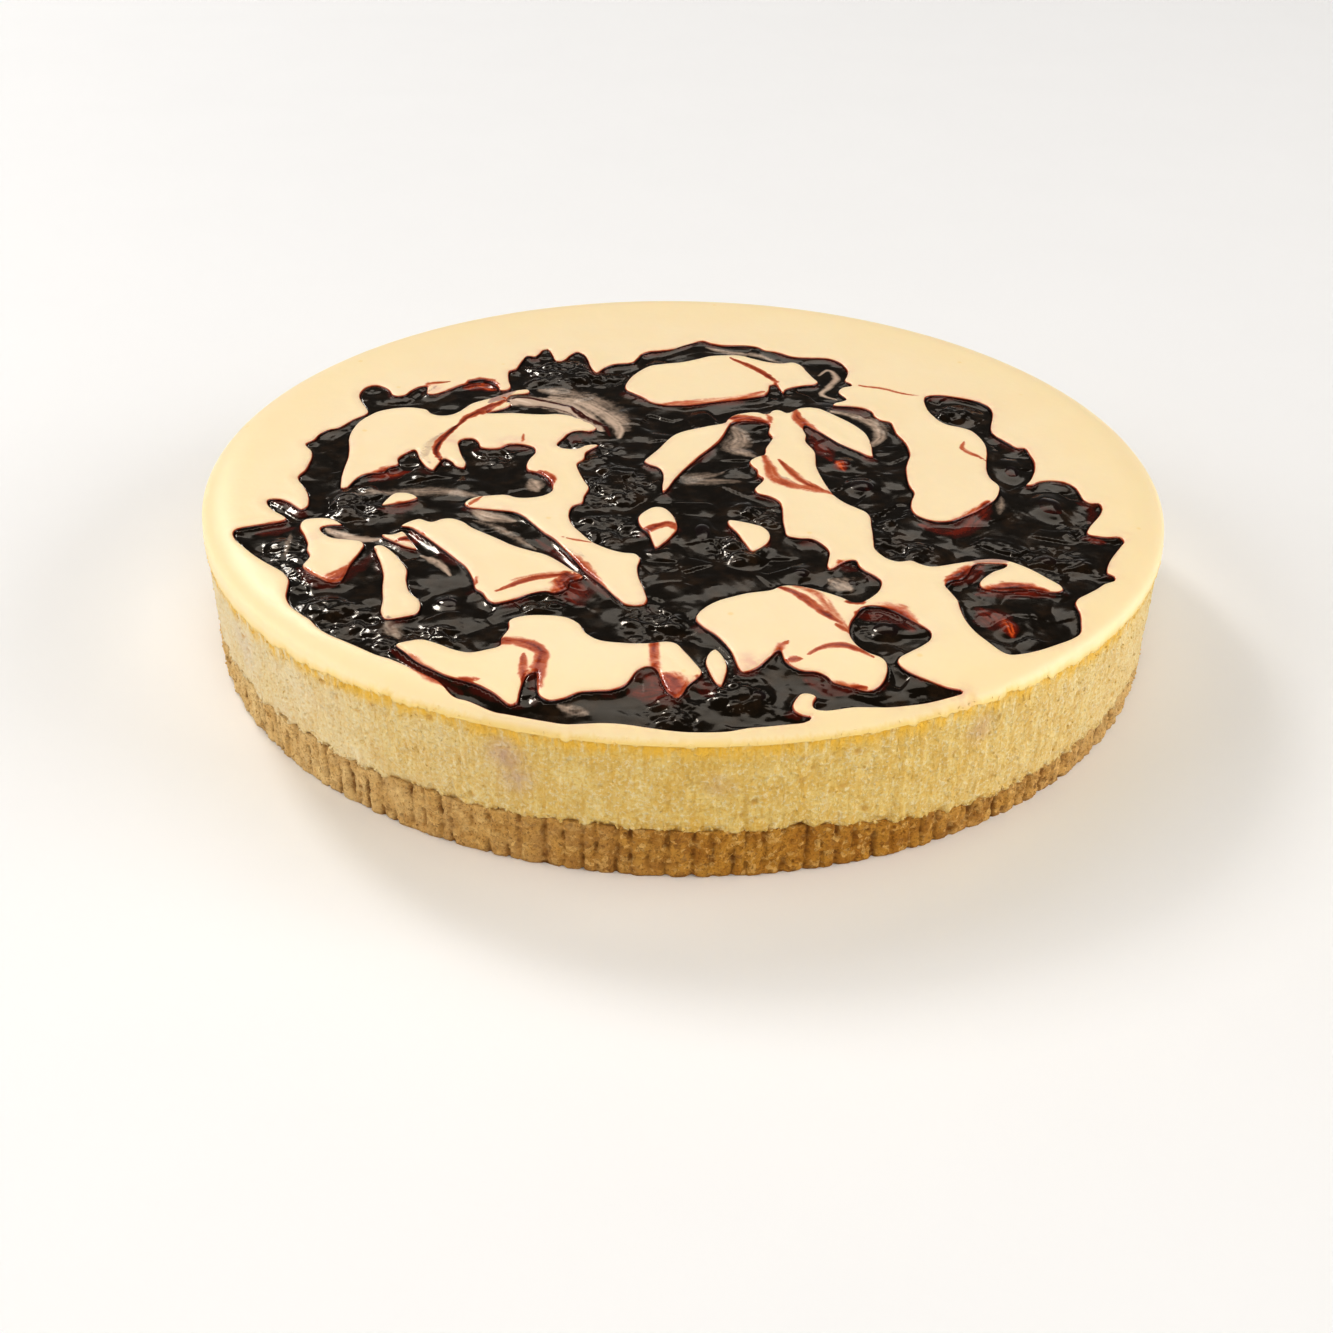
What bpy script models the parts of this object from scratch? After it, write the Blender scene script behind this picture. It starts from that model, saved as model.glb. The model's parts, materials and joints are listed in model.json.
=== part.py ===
"""Baked cheesecake with a dark berry compote swirled into its top.

The cake stands on Z = 0 with its middle on the Z axis, and +Y points to the far side. Sizes are in
millimetres, and are turned into metres where a mesh is made.
"""
import math
import random

import bmesh
import bpy
from mathutils import Matrix, Vector
from mathutils.geometry import delaunay_2d_cdt

MM = 0.001
GAP = 0.3

# The whole cake
CAKE_RADIUS = 120.0
FOOT_RADIUS = 119.2
CAKE_HEIGHT = 38.8

# The rim: the top rolls over, and its skin ends in a torn lip. Lists of degrees round the cake, from +X
# towards +Y, and heights tell where the edges of the layers run.
ROLL_START_RADIUS = 111.0
ROLL_DROP = 4.0
TOP_EDGE_RADIUS = 119.7
LIP_HEIGHTS = [
    (0, 32.6), (60, 33.4), (120, 33.0), (170, 32.4), (200, 30.8), (215, 31.2), (230, 32.4), (245, 33.6),
    (260, 34.2), (290, 34.4), (303, 33.8), (320, 32.8), (335, 32.4),
]
LIP_RAGGEDNESS = 0.45
LIP_OVERHANG = 0.6
LIP_THICKNESS = 0.3
SIDE_MIDDLE_HEIGHT = 23.0
RIM_SIDES = 96
ROLL_RINGS = (111.0, 114.0, 116.5, 118.5)

# The front of the top has settled a little under the weight of the compote
SAG_DEPTH = 1.2
SAG_START_Y = -85.0
SAG_END_Y = -115.0

# Uneven edges are slow waves round the cake, with chance on top of them
EDGE_WAVES = (3, 7, 13, 21)
WAVE_SHARE = 0.6
CHANCE_SHARE = 0.4

# The biscuit base: pressed crumbs with the pleats of the paper that lined the tin
BASE_HEIGHT = 12.0
BASE_EDGE_HEIGHTS = [
    (0, 7.2), (40, 8.5), (90, 10.0), (140, 10.8), (190, 10.4), (212, 10.8), (228, 11.6), (245, 12.3),
    (265, 12.6), (279, 12.1), (301, 7.4), (335, 6.8),
]
BASE_RAGGEDNESS = 0.8
BASE_EDGE_GAP = 0.55
BASE_FLAT_RADIUS = 110.0
BASE_CHAMFER = 0.5
PLEAT_DEPTH = 0.9
PLEATS = 96

# The compote lies in a hollow of the filling, a little below the cream's lips
HOLLOW_FLOOR = 28.4
COMPOTE_BELOW_TOP = 2.3
COMPOTE_TOP_CLEARANCE = 0.3
WAVE_HEIGHT = 0.25
WAVE_PER_MM_X = 0.31
WAVE_PER_MM_Y = 0.27
WAVE_START = 1.0
COMPOTE_GRID = 7.0
GRID_CLEARANCE = 2.0
LONG_SIDE = 6.5

# Whole fruits: middle x and y, half length, half width, half height, turn in degrees
FRUIT_SIDES = 10
FRUIT_RINGS = 6
FRUIT_DEPTH = 4.6
FRUITS = [
    (83.8, 0.5, 8.2, 4.6, 4.0, 93.0),
    (90.3, -19.5, 9.5, 6.2, 4.5, 97.0),
    (84.8, -47.6, 4.7, 4.6, 4.3, 0.0),
    (75.2, 36.0, 6.4, 5.3, 4.0, 110.0),
    (71.0, -77.6, 5.4, 3.7, 4.2, 75.0),
    (44.6, -10.4, 6.6, 5.6, 4.5, 95.0),
    (41.2, 2.6, 4.7, 4.3, 4.2, 80.0),
    (44.8, -79.4, 6.3, 5.6, 4.5, 100.0),
    (38.9, -59.4, 4.9, 4.2, 3.9, 60.0),
    (27.2, -55.3, 4.7, 4.4, 4.2, 20.0),
    (5.0, -37.0, 9.5, 4.6, 4.3, 91.0),
    (15.6, -104.8, 5.5, 4.7, 4.2, 85.0),
    (-32.3, 60.5, 6.0, 3.6, 4.0, 92.0),
    (-42.0, 57.5, 7.0, 4.2, 4.0, 85.0),
    (-93.6, -46.8, 5.6, 4.2, 4.0, 125.0),
    (-79.3, -24.0, 5.0, 4.4, 4.2, 70.0),
    (-51.0, -72.0, 5.6, 4.5, 4.2, 120.0),
]

# Mounds of crushed fruit under the glaze: middle x and y, radius, height
MOUNDS = [
    (-18.0, -10.0, 12.0, 1.5), (-14.0, 22.0, 9.0, 1.0), (-37.0, 50.0, 11.0, 1.4), (2.0, 76.0, 8.0, 1.2),
    (40.0, 62.0, 7.0, 1.3), (51.0, 26.0, 7.0, 1.0), (52.0, -21.0, 6.0, -0.8), (60.0, -40.0, 10.0, 0.8),
    (92.0, -45.0, 8.0, 1.2), (74.0, -72.0, 10.0, 1.0), (15.0, 14.0, 8.0, -0.7), (14.0, -22.0, 9.0, 1.0),
    (4.0, -62.0, 12.0, 0.8), (-12.0, -80.0, 8.0, 0.9), (-48.0, -80.0, 9.0, 1.0), (-58.0, -60.0, 8.0, 0.8),
    (-74.0, -74.0, 9.0, 1.2), (-78.0, -26.0, 9.0, 1.3), (-57.0, -14.0, 9.0, 0.9), (-92.0, 0.0, 7.0, 0.8),
    (-85.0, 38.0, 7.0, 1.2), (-62.0, 38.0, 8.0, 1.2), (-36.0, -14.0, 5.0, 1.0), (-42.0, -38.0, 7.0, 0.9),
    (-60.0, -27.0, 8.0, -0.8), (0.0, -112.0, 8.0, 1.2), (34.0, -106.0, 7.0, 1.0), (50.0, -104.0, 6.0, 0.9),
]

# Edge of the compote as seen from above: x and y of the cream's lip, taken in turn round the pool
POOL_EDGE = [
    (-105, -42.3), (-104.8, -41), (-99, -38.1), (-94, -35.1), (-98, -30.6), (-99.8, -28.1),
    (-100.5, -25.4), (-98, -25.1), (-95.5, -26.4), (-91.5, -30.4), (-90.3, -28.6), (-90.6, -25.1),
    (-91.5, -21.6), (-93, -18.1), (-95, -14.6), (-95.7, -12.1), (-94.8, -9.1), (-94.5, -5.1),
    (-94.5, -1.1), (-95.2, 2.4), (-97.6, 6.9), (-96, 9.4), (-95.2, 12.4), (-93.5, 15.1), (-91, 16.7),
    (-88, 22), (-84.8, 26.7), (-87.3, 33.4), (-88.7, 37.4), (-88.7, 40.9), (-87.8, 43.7),
    (-86, 45.1), (-83.5, 43.9), (-81.5, 41.4), (-80.3, 38.7), (-78.5, 37.7), (-76.5, 38.7),
    (-75.2, 41.9), (-73.5, 44.4), (-71.8, 45.1), (-70.8, 39.9), (-68.8, 39.7), (-66.5, 41.4),
    (-62.5, 46.4), (-60, 47.9), (-56.5, 49.1), (-53.5, 47.9), (-52, 45.4), (-51.2, 43.2),
    (-49.8, 43), (-48.3, 44.4), (-48.2, 46.4), (-49, 49.9), (-49.6, 53.9), (-49.5, 57.4),
    (-48, 58.5), (-46.5, 64.9), (-45.5, 68.2), (-43.5, 67.7), (-42.3, 69.9), (-41.5, 72.9),
    (-40.3, 73.7), (-39.3, 71.9), (-37.2, 65.2), (-36, 64.7), (-34.5, 66.4), (-33.3, 69.4),
    (-31.5, 71.9), (-29.8, 70.4), (-28.3, 66.9), (-27.3, 62.4), (-26.2, 58.4), (-25, 56.7),
    (-22.5, 61.2), (-20, 63.2), (-15, 64.7), (-12.5, 71.2), (-10.5, 73.1), (-4, 75.4), (2, 79.9),
    (5, 82.1), (7, 80.7), (10, 79.4), (13, 78.9), (18, 78.9), (21, 77.9), (23, 75.7), (26, 74.9),
    (31, 71.2), (35, 70.7), (39, 70.9), (42, 70.2), (44.3, 67.9), (46.3, 61.4), (45, 54.4),
    (46.5, 52.4), (46.5, 50.7), (44.5, 49.9), (43, 48.2), (42.6, 45.9), (44.4, 41.4), (43, 39.9),
    (41, 38.7), (40.5, 37.3), (46, 36.7), (49, 35.7), (50.7, 33.4), (51.2, 30.4), (52.8, 27.7),
    (55, 26.7), (56, 19.9), (57.3, 15.9), (58.2, 10.9), (58.3, 6.9), (57.3, 2.9), (56.5, -1.1),
    (56.2, -6.1), (56.3, -11.1), (57, -15.1), (56, -19.1), (55.5, -23.1), (56, -26.1), (58, -28.6),
    (61, -30.1), (64.5, -29.6), (68, -27.1), (71.5, -24.1), (74.5, -20.6), (77, -17.6), (78.5, -13.6),
    (79, -10.1), (77.5, -6.1), (77.3, -1.1), (78, 3.9), (78.8, 8.9), (79, 13.9), (78, 18.9),
    (76.5, 22.4), (74, 24.4), (71, 25.9), (69, 28.2), (66.8, 34.4), (66.3, 38.4), (66.3, 41.9),
    (67, 44.2), (70, 45.2), (73.5, 44.7), (77, 43.4), (80.5, 41.6), (83, 38.4), (83.5, 34.9),
    (83, 30.9), (82, 26.4), (81.5, 22.9), (82, 19.9), (85.5, 13.9), (86.8, 11.9), (88.7, 11.9),
    (89.2, 8.9), (89.8, 3.9), (89, -1.1), (87.3, -6.1), (85.8, -9.4), (87.2, -9.4), (89.5, -7.6),
    (92.5, -6.9), (95.5, -7.6), (97.7, -10.1), (98.6, -17.1), (100, -18.9), (102, -18.7),
    (102.3, -21.1), (101, -24.6), (99, -28.1), (97, -31.6), (96, -34.9), (97.5, -36.1), (100.5, -36.6),
    (103.5, -36.4), (104, -38.1), (100.5, -44.6), (98.5, -48.6), (97.2, -52.1), (97, -54.1),
    (98.3, -55.4), (98, -56.8), (95.5, -58.5), (93, -61.1), (88, -65.6), (87, -68.1), (87.3, -71.9),
    (86.4, -78.5), (84.4, -80.8), (80.3, -83.9), (76.2, -86.6), (72.1, -88.6), (69, -89.1),
    (65.5, -84.1), (63.5, -80.1), (62.2, -75.6), (61.7, -71.1), (61.5, -67.1), (59.6, -60.6),
    (61, -58.7), (63.5, -57.7), (65.3, -55.1), (67.5, -50.7), (72, -50.1), (74.7, -50.6),
    (73.5, -52.4), (71, -54.1), (67.3, -59.1), (67.3, -61.1), (69, -62.4), (72, -62.9), (79, -61.9),
    (82, -62.9), (84.3, -63.1), (85.8, -62.1), (85.8, -60.1), (83.5, -56.9), (81, -53.6), (78, -50.6),
    (75, -48.6), (72, -47.9), (69, -48.4), (63, -50.5), (57, -52.1), (55, -51.1), (53, -49.4),
    (50, -50.1), (48, -49.1), (46.2, -46.6), (45.2, -44.1), (45.3, -37.1), (45.3, -32.1),
    (45.5, -28.6), (44.8, -25.9), (40, -21.1), (38, -18.1), (36.8, -15.1), (36, -11.1), (35, -6.1),
    (34, -1.1), (34.1, 3.9), (34, 7.9), (32, 13.9), (32.3, 17.9), (31.8, 21.4), (32.3, 23.9),
    (36.5, 18.9), (40.5, 12.9), (45.5, 7.9), (47.5, 5.6), (48.8, 5.4), (49.1, 11.9), (48.8, 15.9),
    (48, 19.9), (46.3, 23.4), (44, 26.9), (41.5, 29.9), (37, 34.7), (34, 35.6), (31, 34.8),
    (27.8, 31.7), (26.8, 32.9), (25.2, 33.7), (23.6, 32.9), (22.7, 31.1), (21.5, 30.9), (20.5, 31.7),
    (18.5, 32), (15.5, 31.1), (13, 29.4), (11.5, 26.9), (10.8, 24.7), (6, 22.2), (0, 18.9), (-3, 15.9),
    (-5, 11.4), (-7, 6.9), (-10, 0.2), (-8.5, -1.9), (-6.5, -3.4), (-5.3, -6.1), (-5, -10.1),
    (-5.2, -14.1), (-4.8, -17.1), (-3.7, -15.1), (-1.8, -9.1), (0, -5.1), (1.8, -1.1), (3.5, 2.4),
    (5.5, 5.9), (7.5, 9.4), (9.5, 13.9), (11, 18.4), (13, 24.9), (16, 26.3), (20, 25.9), (22.5, 24.4),
    (22.3, 18.9), (23.2, 15.9), (21.2, 9.4), (20.6, 5.4), (18.5, 3.9), (16.8, 1.4), (17.2, -1.1),
    (18.5, -3.6), (18.8, -6.6), (20, -8.6), (17.6, -14.6), (18.5, -17.1), (21, -18.4), (23.3, -20.6),
    (24, -23.6), (24, -31.1), (24.3, -35.1), (24.8, -38.6), (27.5, -39.9), (30.5, -40.1), (33, -42.8),
    (34.2, -46.1), (33.3, -53.1), (33.8, -54.6), (38, -50.4), (40, -50.1), (40.5, -52.6),
    (41.5, -54.6), (43.5, -56.8), (45, -59.6), (44.5, -62.6), (43, -65.4), (39.3, -69), (37.5, -68.4),
    (36, -67), (31, -64.1), (28.5, -62.9), (25, -62), (22, -62.6), (20, -64.4), (14.5, -66),
    (8, -69.7), (5.5, -72.3), (3.8, -75.1), (3.3, -77.9), (4.5, -80.4), (7.8, -84.6), (10.5, -89.9),
    (12.2, -96.5), (13, -98.1), (15, -97.4), (17, -95.5), (21, -89.7), (22, -93.7), (23.5, -95.8),
    (25.6, -97.2), (28.1, -97.4), (30.4, -98.8), (31.6, -100.9), (34.1, -102.2), (38.9, -103.7),
    (40.9, -102.2), (42.4, -99.7), (43.3, -96.5), (43.4, -93.5), (42.5, -91.6), (40, -89.9),
    (38, -87.5), (36.8, -84.4), (36.5, -81.1), (37.2, -77.6), (40, -71.6), (42, -70.8), (44.5, -71.3),
    (46.5, -72.4), (49, -75.1), (51.5, -78.1), (53.7, -81.1), (53.3, -84.1), (51, -87), (46, -91.4),
    (45.4, -93.2), (46.4, -95.5), (49.1, -98.1), (52.2, -100.2), (55.3, -101.5), (58.1, -101.7),
    (54.9, -103.5), (50.5, -105.5), (46.4, -106.8), (42.4, -107.8), (35.2, -108.6), (29.2, -110),
    (27.4, -109.5), (27.4, -107.5), (28.1, -105.7), (26.9, -104.7), (24.9, -104.7), (23.6, -106.6),
    (22.8, -109), (23.1, -110.7), (24.7, -112.1), (26.5, -112.4), (25.2, -113.4), (18.2, -114.9),
    (14.1, -115.6), (10.1, -116.6), (6.1, -117), (2, -117.1), (-2, -116.8), (-6.1, -116.2),
    (-10.1, -115.5), (-14.1, -115.1), (-18.2, -115.1), (-22.3, -115.1), (-29.2, -113.5),
    (-34.2, -112.1), (-36.9, -111.3), (-42.4, -108.3), (-45.4, -107), (-48.7, -103), (-54.2, -99.1),
    (-60.1, -95.4), (-63.1, -94), (-68.1, -90.7), (-74.1, -86.7), (-77.1, -84), (-79.5, -80.8),
    (-82.5, -77.8), (-85, -74.9), (-86.5, -71.5), (-87.5, -64.1), (-89.5, -60.6), (-95, -55.6),
    (-98, -52.6), (-101, -49), (-103.8, -45.3),
]

# Islands of cream that rise through the compote, each with its own lip
CREAM_ISLANDS = {
    "far_oval": [
        (-16.8, 47.4), (-16.3, 50.9), (-15, 54.9), (-13, 58.9), (-10, 62.7), (-6, 64.4), (-1, 65.9),
        (3, 68.2), (7, 70.9), (12, 71.9), (16, 71.7), (20, 69.4), (24, 67.2), (27.5, 66.4), (31, 67.2),
        (33.5, 64.9), (34.8, 60.9), (36.3, 56.4), (37.5, 52.9), (36, 50.9), (33, 50.2), (28.3, 47.4),
        (27.4, 44.4), (25.3, 50.9), (24, 50.4), (23.5, 46.9), (22.3, 43.9), (19, 41.9), (14, 39.9),
        (9, 38.2), (4, 36.7), (-1, 35.7), (-5, 35.6), (-8.5, 36.9), (-11.5, 40.2), (-16.3, 44.9),
    ],
    "left_swirl": [
        (-44, 44.2), (-42.8, 43.7), (-43, 41.9), (-47.8, 39.9), (-48.5, 36.9), (-47, 33.9), (-48.5, 31.4),
        (-53, 27.9), (-46, 28.4), (-42, 27.9), (-38, 27.7), (-34, 28.1), (-31, 27.4), (-27, 24.9),
        (-24, 21.9), (-23, 19.4), (-24.5, 17.4), (-27.5, 17.7), (-30, 16.4), (-31.5, 12.9), (-32.7, 8.9),
        (-31, 6.9), (-27.5, 6.7), (-25.3, 8.9), (-22, 9.4), (-25, 4.9), (-25.3, 0.9), (-26.7, -2.1),
        (-26, -6.1), (-24.5, -11.1), (-23, -15.6), (-24, -20.1), (-24.3, -23.9), (-26.3, -25.6),
        (-27, -30.1), (-26, -34.6), (-23.5, -39.1), (-20.5, -43.6), (-17, -46.6), (-13.5, -48.4),
        (-10.5, -48.9), (-9.3, -51.1), (-9.8, -55.1), (-9.3, -60.1), (-8, -65.1), (-7.3, -70.1),
        (-8.5, -72.1), (-12, -72.1), (-14, -69.6), (-16.5, -65.6), (-19.5, -61.1), (-22, -57.6),
        (-24.5, -52.6), (-27.5, -47.1), (-30, -42.6), (-32.5, -39.6), (-35.5, -35.1), (-38, -31.6),
        (-40.5, -29.6), (-45, -28.6), (-51.5, -27.6), (-53, -25.6), (-52.5, -23.6), (-50.5, -21.6),
        (-47, -20.6), (-43, -20.1), (-40.5, -21.4), (-37, -21.3), (-34, -19.9), (-32.3, -17.1),
        (-33, -13.1), (-34.7, -9.6), (-37, -7.3), (-39, -6.4), (-39.8, -4.1), (-39.5, -0.1), (-38.3, 3.9),
        (-39, 6.9), (-43, 8.9), (-45.5, 8.7), (-47.5, 6.4), (-50, 5.9), (-52.3, 6.4), (-53.5, 9.4),
        (-55, 11.7), (-57.5, 11.4), (-58.3, 9.4), (-57.5, 5.4), (-56.3, 0.9), (-55, -3.1), (-55.5, -5.6),
        (-57.5, -4.6), (-59, -2.1), (-61, -0.6), (-63, -7.4), (-65, -5.6), (-67, -1.6), (-69.3, 4.4),
        (-72.5, -0.6), (-72, -4.6), (-74, -6.1), (-75.3, -9.1), (-78, -9.6), (-80, -11.1), (-81.5, -14.1),
        (-82.7, -18.1), (-84, -18.6), (-85, -14.1), (-85.5, -8.1), (-85.6, -1.1), (-86.3, 4.9),
        (-87.3, 10.9), (-87.2, 15.9), (-86.3, 20.9), (-84.3, 24.9), (-82.5, 27.4), (-79, 29.6),
        (-75, 30.7), (-71.5, 30.3), (-69.2, 29.4), (-67.8, 27.2), (-65.8, 25.9), (-63, 26.2), (-61, 28.2),
        (-58, 33.9), (-52.5, 38.4), (-47.3, 43),
    ],
    "left_tongue": [
        (-66.7, -37.6), (-65, -35.1), (-62.5, -33.6), (-59.5, -35.1), (-57.5, -33.6), (-55, -33.1),
        (-52, -34.6), (-49.5, -37.6), (-46, -40.4), (-42.5, -43.1), (-39, -45.9), (-35, -48.1),
        (-31, -50.1), (-27.5, -53.4), (-24.5, -57.1), (-22, -60.1), (-25, -62.4), (-25.3, -65.1),
        (-28, -67.4), (-30, -66.9), (-33, -68.1), (-37, -71.1), (-41, -72.7), (-42.8, -70.9), (-44, -68.4),
        (-45.8, -66.6), (-47, -62.1), (-49, -57.1), (-51.5, -53.6), (-54.5, -49.6), (-58, -45.1),
        (-61.5, -41.1), (-64, -38.4),
    ],
    "left_chip": [
        (-90.5, -38.1), (-90, -35.3), (-87, -34.1), (-83.5, -34.4), (-81, -36.4), (-80, -37.9),
        (-83, -38.1), (-85, -39.1), (-84, -41.6), (-81.5, -43.8), (-74.5, -45.4), (-73.5, -47.1),
        (-74, -51.1), (-75.3, -56.1), (-75.5, -61.1), (-76.3, -64.6), (-78.5, -64.7), (-81.5, -62.9),
        (-84.5, -60.1), (-86, -57.6), (-85.3, -53.1), (-86.5, -50.4), (-87, -47.1), (-88.3, -43.6),
    ],
    "left_finger": [
        (-71.3, -47.6), (-69.5, -47.1), (-66.5, -50.1), (-64, -54.1), (-61.8, -58.6), (-61.3, -63.1),
        (-60, -68.1), (-57, -72.6), (-57, -77.6), (-63.5, -80.3), (-65, -77.6), (-65.5, -72.1),
        (-66.5, -66.1), (-67.3, -60.1), (-68.8, -55.1), (-70.3, -51.1),
    ],
    "left_flake": [
        (-72.7, -27.1), (-70.5, -20.4), (-67, -20.3), (-64.5, -22.6), (-66, -24.4),
    ],
    "left_sliver": [
        (-70.5, -41.7), (-68, -41.7), (-65.7, -40.1), (-62, -46.6), (-61.3, -48.3), (-64, -47.4),
        (-70, -43.1),
    ],
    "middle_drop": [
        (-10.7, -30.6), (-9, -27.1), (-7, -25.1), (-4.5, -25.3), (-2.5, -28.1), (-1.3, -32.1), (-1, -36.1),
        (-2.3, -39.6), (-6, -46.1), (-7, -42.6), (-8, -38.6), (-10, -35.6),
    ],
    "middle_leaf": [
        (11, -31.3), (17, -33), (19.5, -34.6), (20.9, -38.1), (20.3, -42.1), (18.3, -45.1), (16.5, -46.7),
        (14.8, -43.1), (12.8, -37.6), (11, -33.6),
    ],
    "front_tongue": [
        (-37, -79.6), (-34, -77.6), (-29, -77.1), (-24.5, -77.9), (-21.5, -80.6), (-20, -84.1),
        (-17, -86.9), (-12, -87.8), (-7, -87.8), (-2.5, -87), (-0.5, -87.8), (1.3, -90.9), (3.3, -94.6),
        (4.8, -98.1), (4, -100.1), (2, -102.9), (0.8, -106.1), (-0.3, -107.5), (-2, -106.1),
        (-3.5, -102.4), (-4.6, -97.8), (-6, -96.5), (-8.3, -97.7), (-11, -103.3), (-13.6, -105.1),
        (-20.1, -106.1), (-23.1, -108.3), (-26.1, -109.2), (-28.3, -107.5), (-29.1, -104.3),
        (-29.7, -99.2), (-31.1, -100.1), (-31.8, -102.9), (-32.5, -109.7), (-33.8, -110.3), (-38, -106.5),
        (-41.2, -104.2), (-44.5, -102.7), (-48.1, -101.2), (-51.4, -98.9), (-54.6, -96.5), (-57.6, -93.2),
        (-59.8, -90.4), (-57.5, -89), (-54.5, -88.2), (-51, -89.5), (-47.5, -91.5), (-44, -92.5),
        (-38, -89.9), (-38, -87), (-36.9, -83.1),
    ],
    "front_sliver": [
        (6.3, -90.9), (7.5, -89.7), (9, -91.8), (10, -95.5), (9.6, -99.7), (8.5, -103.3), (7.3, -101.5),
        (5.4, -94.6),
    ],
}


def smoothstep(low, high, value):
    """Ease from 0 at low to 1 at high."""
    part = min(1.0, max(0.0, (value - low) / (high - low)))
    return part * part * (3.0 - 2.0 * part)


def baked_top(x, y):
    """Height of the cream's top: flat, settled at the front, rolling over at the rim."""
    reach = min(1.0, max(0.0, math.hypot(x, y) - ROLL_START_RADIUS) / (CAKE_RADIUS - ROLL_START_RADIUS))
    roll = ROLL_DROP * (1.0 - math.sqrt(1.0 - reach * reach))
    sag = SAG_DEPTH * smoothstep(SAG_START_Y, SAG_END_Y, y)
    return CAKE_HEIGHT - roll - sag


def compote_top(x, y):
    """Height of the compote's wet top: below the cream, with mounds and slow waves."""
    level = baked_top(x, y) - COMPOTE_BELOW_TOP
    level += WAVE_HEIGHT * math.sin(x * WAVE_PER_MM_X + WAVE_START) * math.sin(y * WAVE_PER_MM_Y)
    for mound_x, mound_y, radius, height in MOUNDS:
        level += height * (1.0 - smoothstep(0.0, radius, math.hypot(x - mound_x, y - mound_y)))
    return min(level, baked_top(x, y) - COMPOTE_TOP_CLEARANCE)


def height_at(knots, degrees):
    """Height between the two knots on either side of an angle, eased from one to the other."""
    closed = knots + [(knots[0][0] + 360, knots[0][1])]
    for (start, low), (end, high) in zip(closed, closed[1:]):
        if start <= degrees < end:
            return low + (high - low) * smoothstep(start, end, degrees)
    return closed[-1][1]


def ragged_heights(seed, knots, depth):
    """Height of a layer's edge at each side of the rim: the knots' height, with an uneven edge."""
    draw = random.Random(seed)
    waves = [(n, draw.uniform(0.0, 2.0 * math.pi)) for n in EDGE_WAVES]
    heights = []
    for side in range(RIM_SIDES):
        turn = side / RIM_SIDES
        angle = 2.0 * math.pi * turn
        wave = sum(math.sin(n * angle + phase) for n, phase in waves) / len(waves)
        offset = depth * (WAVE_SHARE * wave + draw.uniform(-CHANCE_SHARE, CHANCE_SHARE))
        heights.append(height_at(knots, 360.0 * turn) + offset)
    return heights


def middle_on_spline(before, start, end, after):
    """The point halfway between two points of a smooth curve through four."""
    return tuple((9.0 * (start[k] + end[k]) - before[k] - after[k]) / 16.0 for k in (0, 1))


def closed_outline(points):
    """The outline counterclockwise, with a spline point in the middle of each long side."""
    area = sum(a[0] * b[1] - b[0] * a[1] for a, b in zip(points, points[1:] + points[:1]))
    turned = points if area > 0.0 else points[::-1]
    outline = []
    for i, start in enumerate(turned):
        end = turned[(i + 1) % len(turned)]
        outline.append((float(start[0]), float(start[1])))
        if math.dist(start, end) > LONG_SIDE:
            before = turned[i - 1]
            after = turned[(i + 2) % len(turned)]
            outline.append(middle_on_spline(before, start, end, after))
    return outline


def moved_outline(outline, distance):
    """The outline moved sideways, to the left of its direction, keeping its number of points."""
    moved = []
    for i, point in enumerate(outline):
        before = Vector(outline[i - 1])
        here = Vector(point)
        after = Vector(outline[(i + 1) % len(outline)])
        inward_a = (here - before).normalized().orthogonal()
        inward_b = (after - here).normalized().orthogonal()
        middle = (inward_a + inward_b).normalized()
        reach = min(2.0, 1.0 / max(0.5, middle.dot(inward_a)))
        moved.append(tuple(here + middle * distance * reach))
    return moved


def ring(radius, sides, turn=0.0):
    """Points of a circle, counterclockwise."""
    angles = [2.0 * math.pi * (side + turn) / sides for side in range(sides)]
    return [(radius * math.cos(angle), radius * math.sin(angle)) for angle in angles]


def crossings_left_of(point, outlines):
    """How many outline sides lie to the left of a point: odd when the point is inside."""
    x, y = point
    count = 0
    for outline in outlines:
        for (x1, y1), (x2, y2) in zip(outline, outline[1:] + outline[:1]):
            if (y1 > y) != (y2 > y) and x > x1 + (y - y1) * (x2 - x1) / (y2 - y1):
                count += 1
    return count


def clear_of(point, outlines, distance):
    """Whether a point keeps its distance from every side of the outlines."""
    here = Vector(point)
    for outline in outlines:
        for start, end in zip(outline, outline[1:] + outline[:1]):
            along = Vector(end) - Vector(start)
            part = min(1.0, max(0.0, (here - Vector(start)).dot(along) / along.length_squared))
            if (here - Vector(start) - along * part).length < distance:
                return False
    return True


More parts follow.
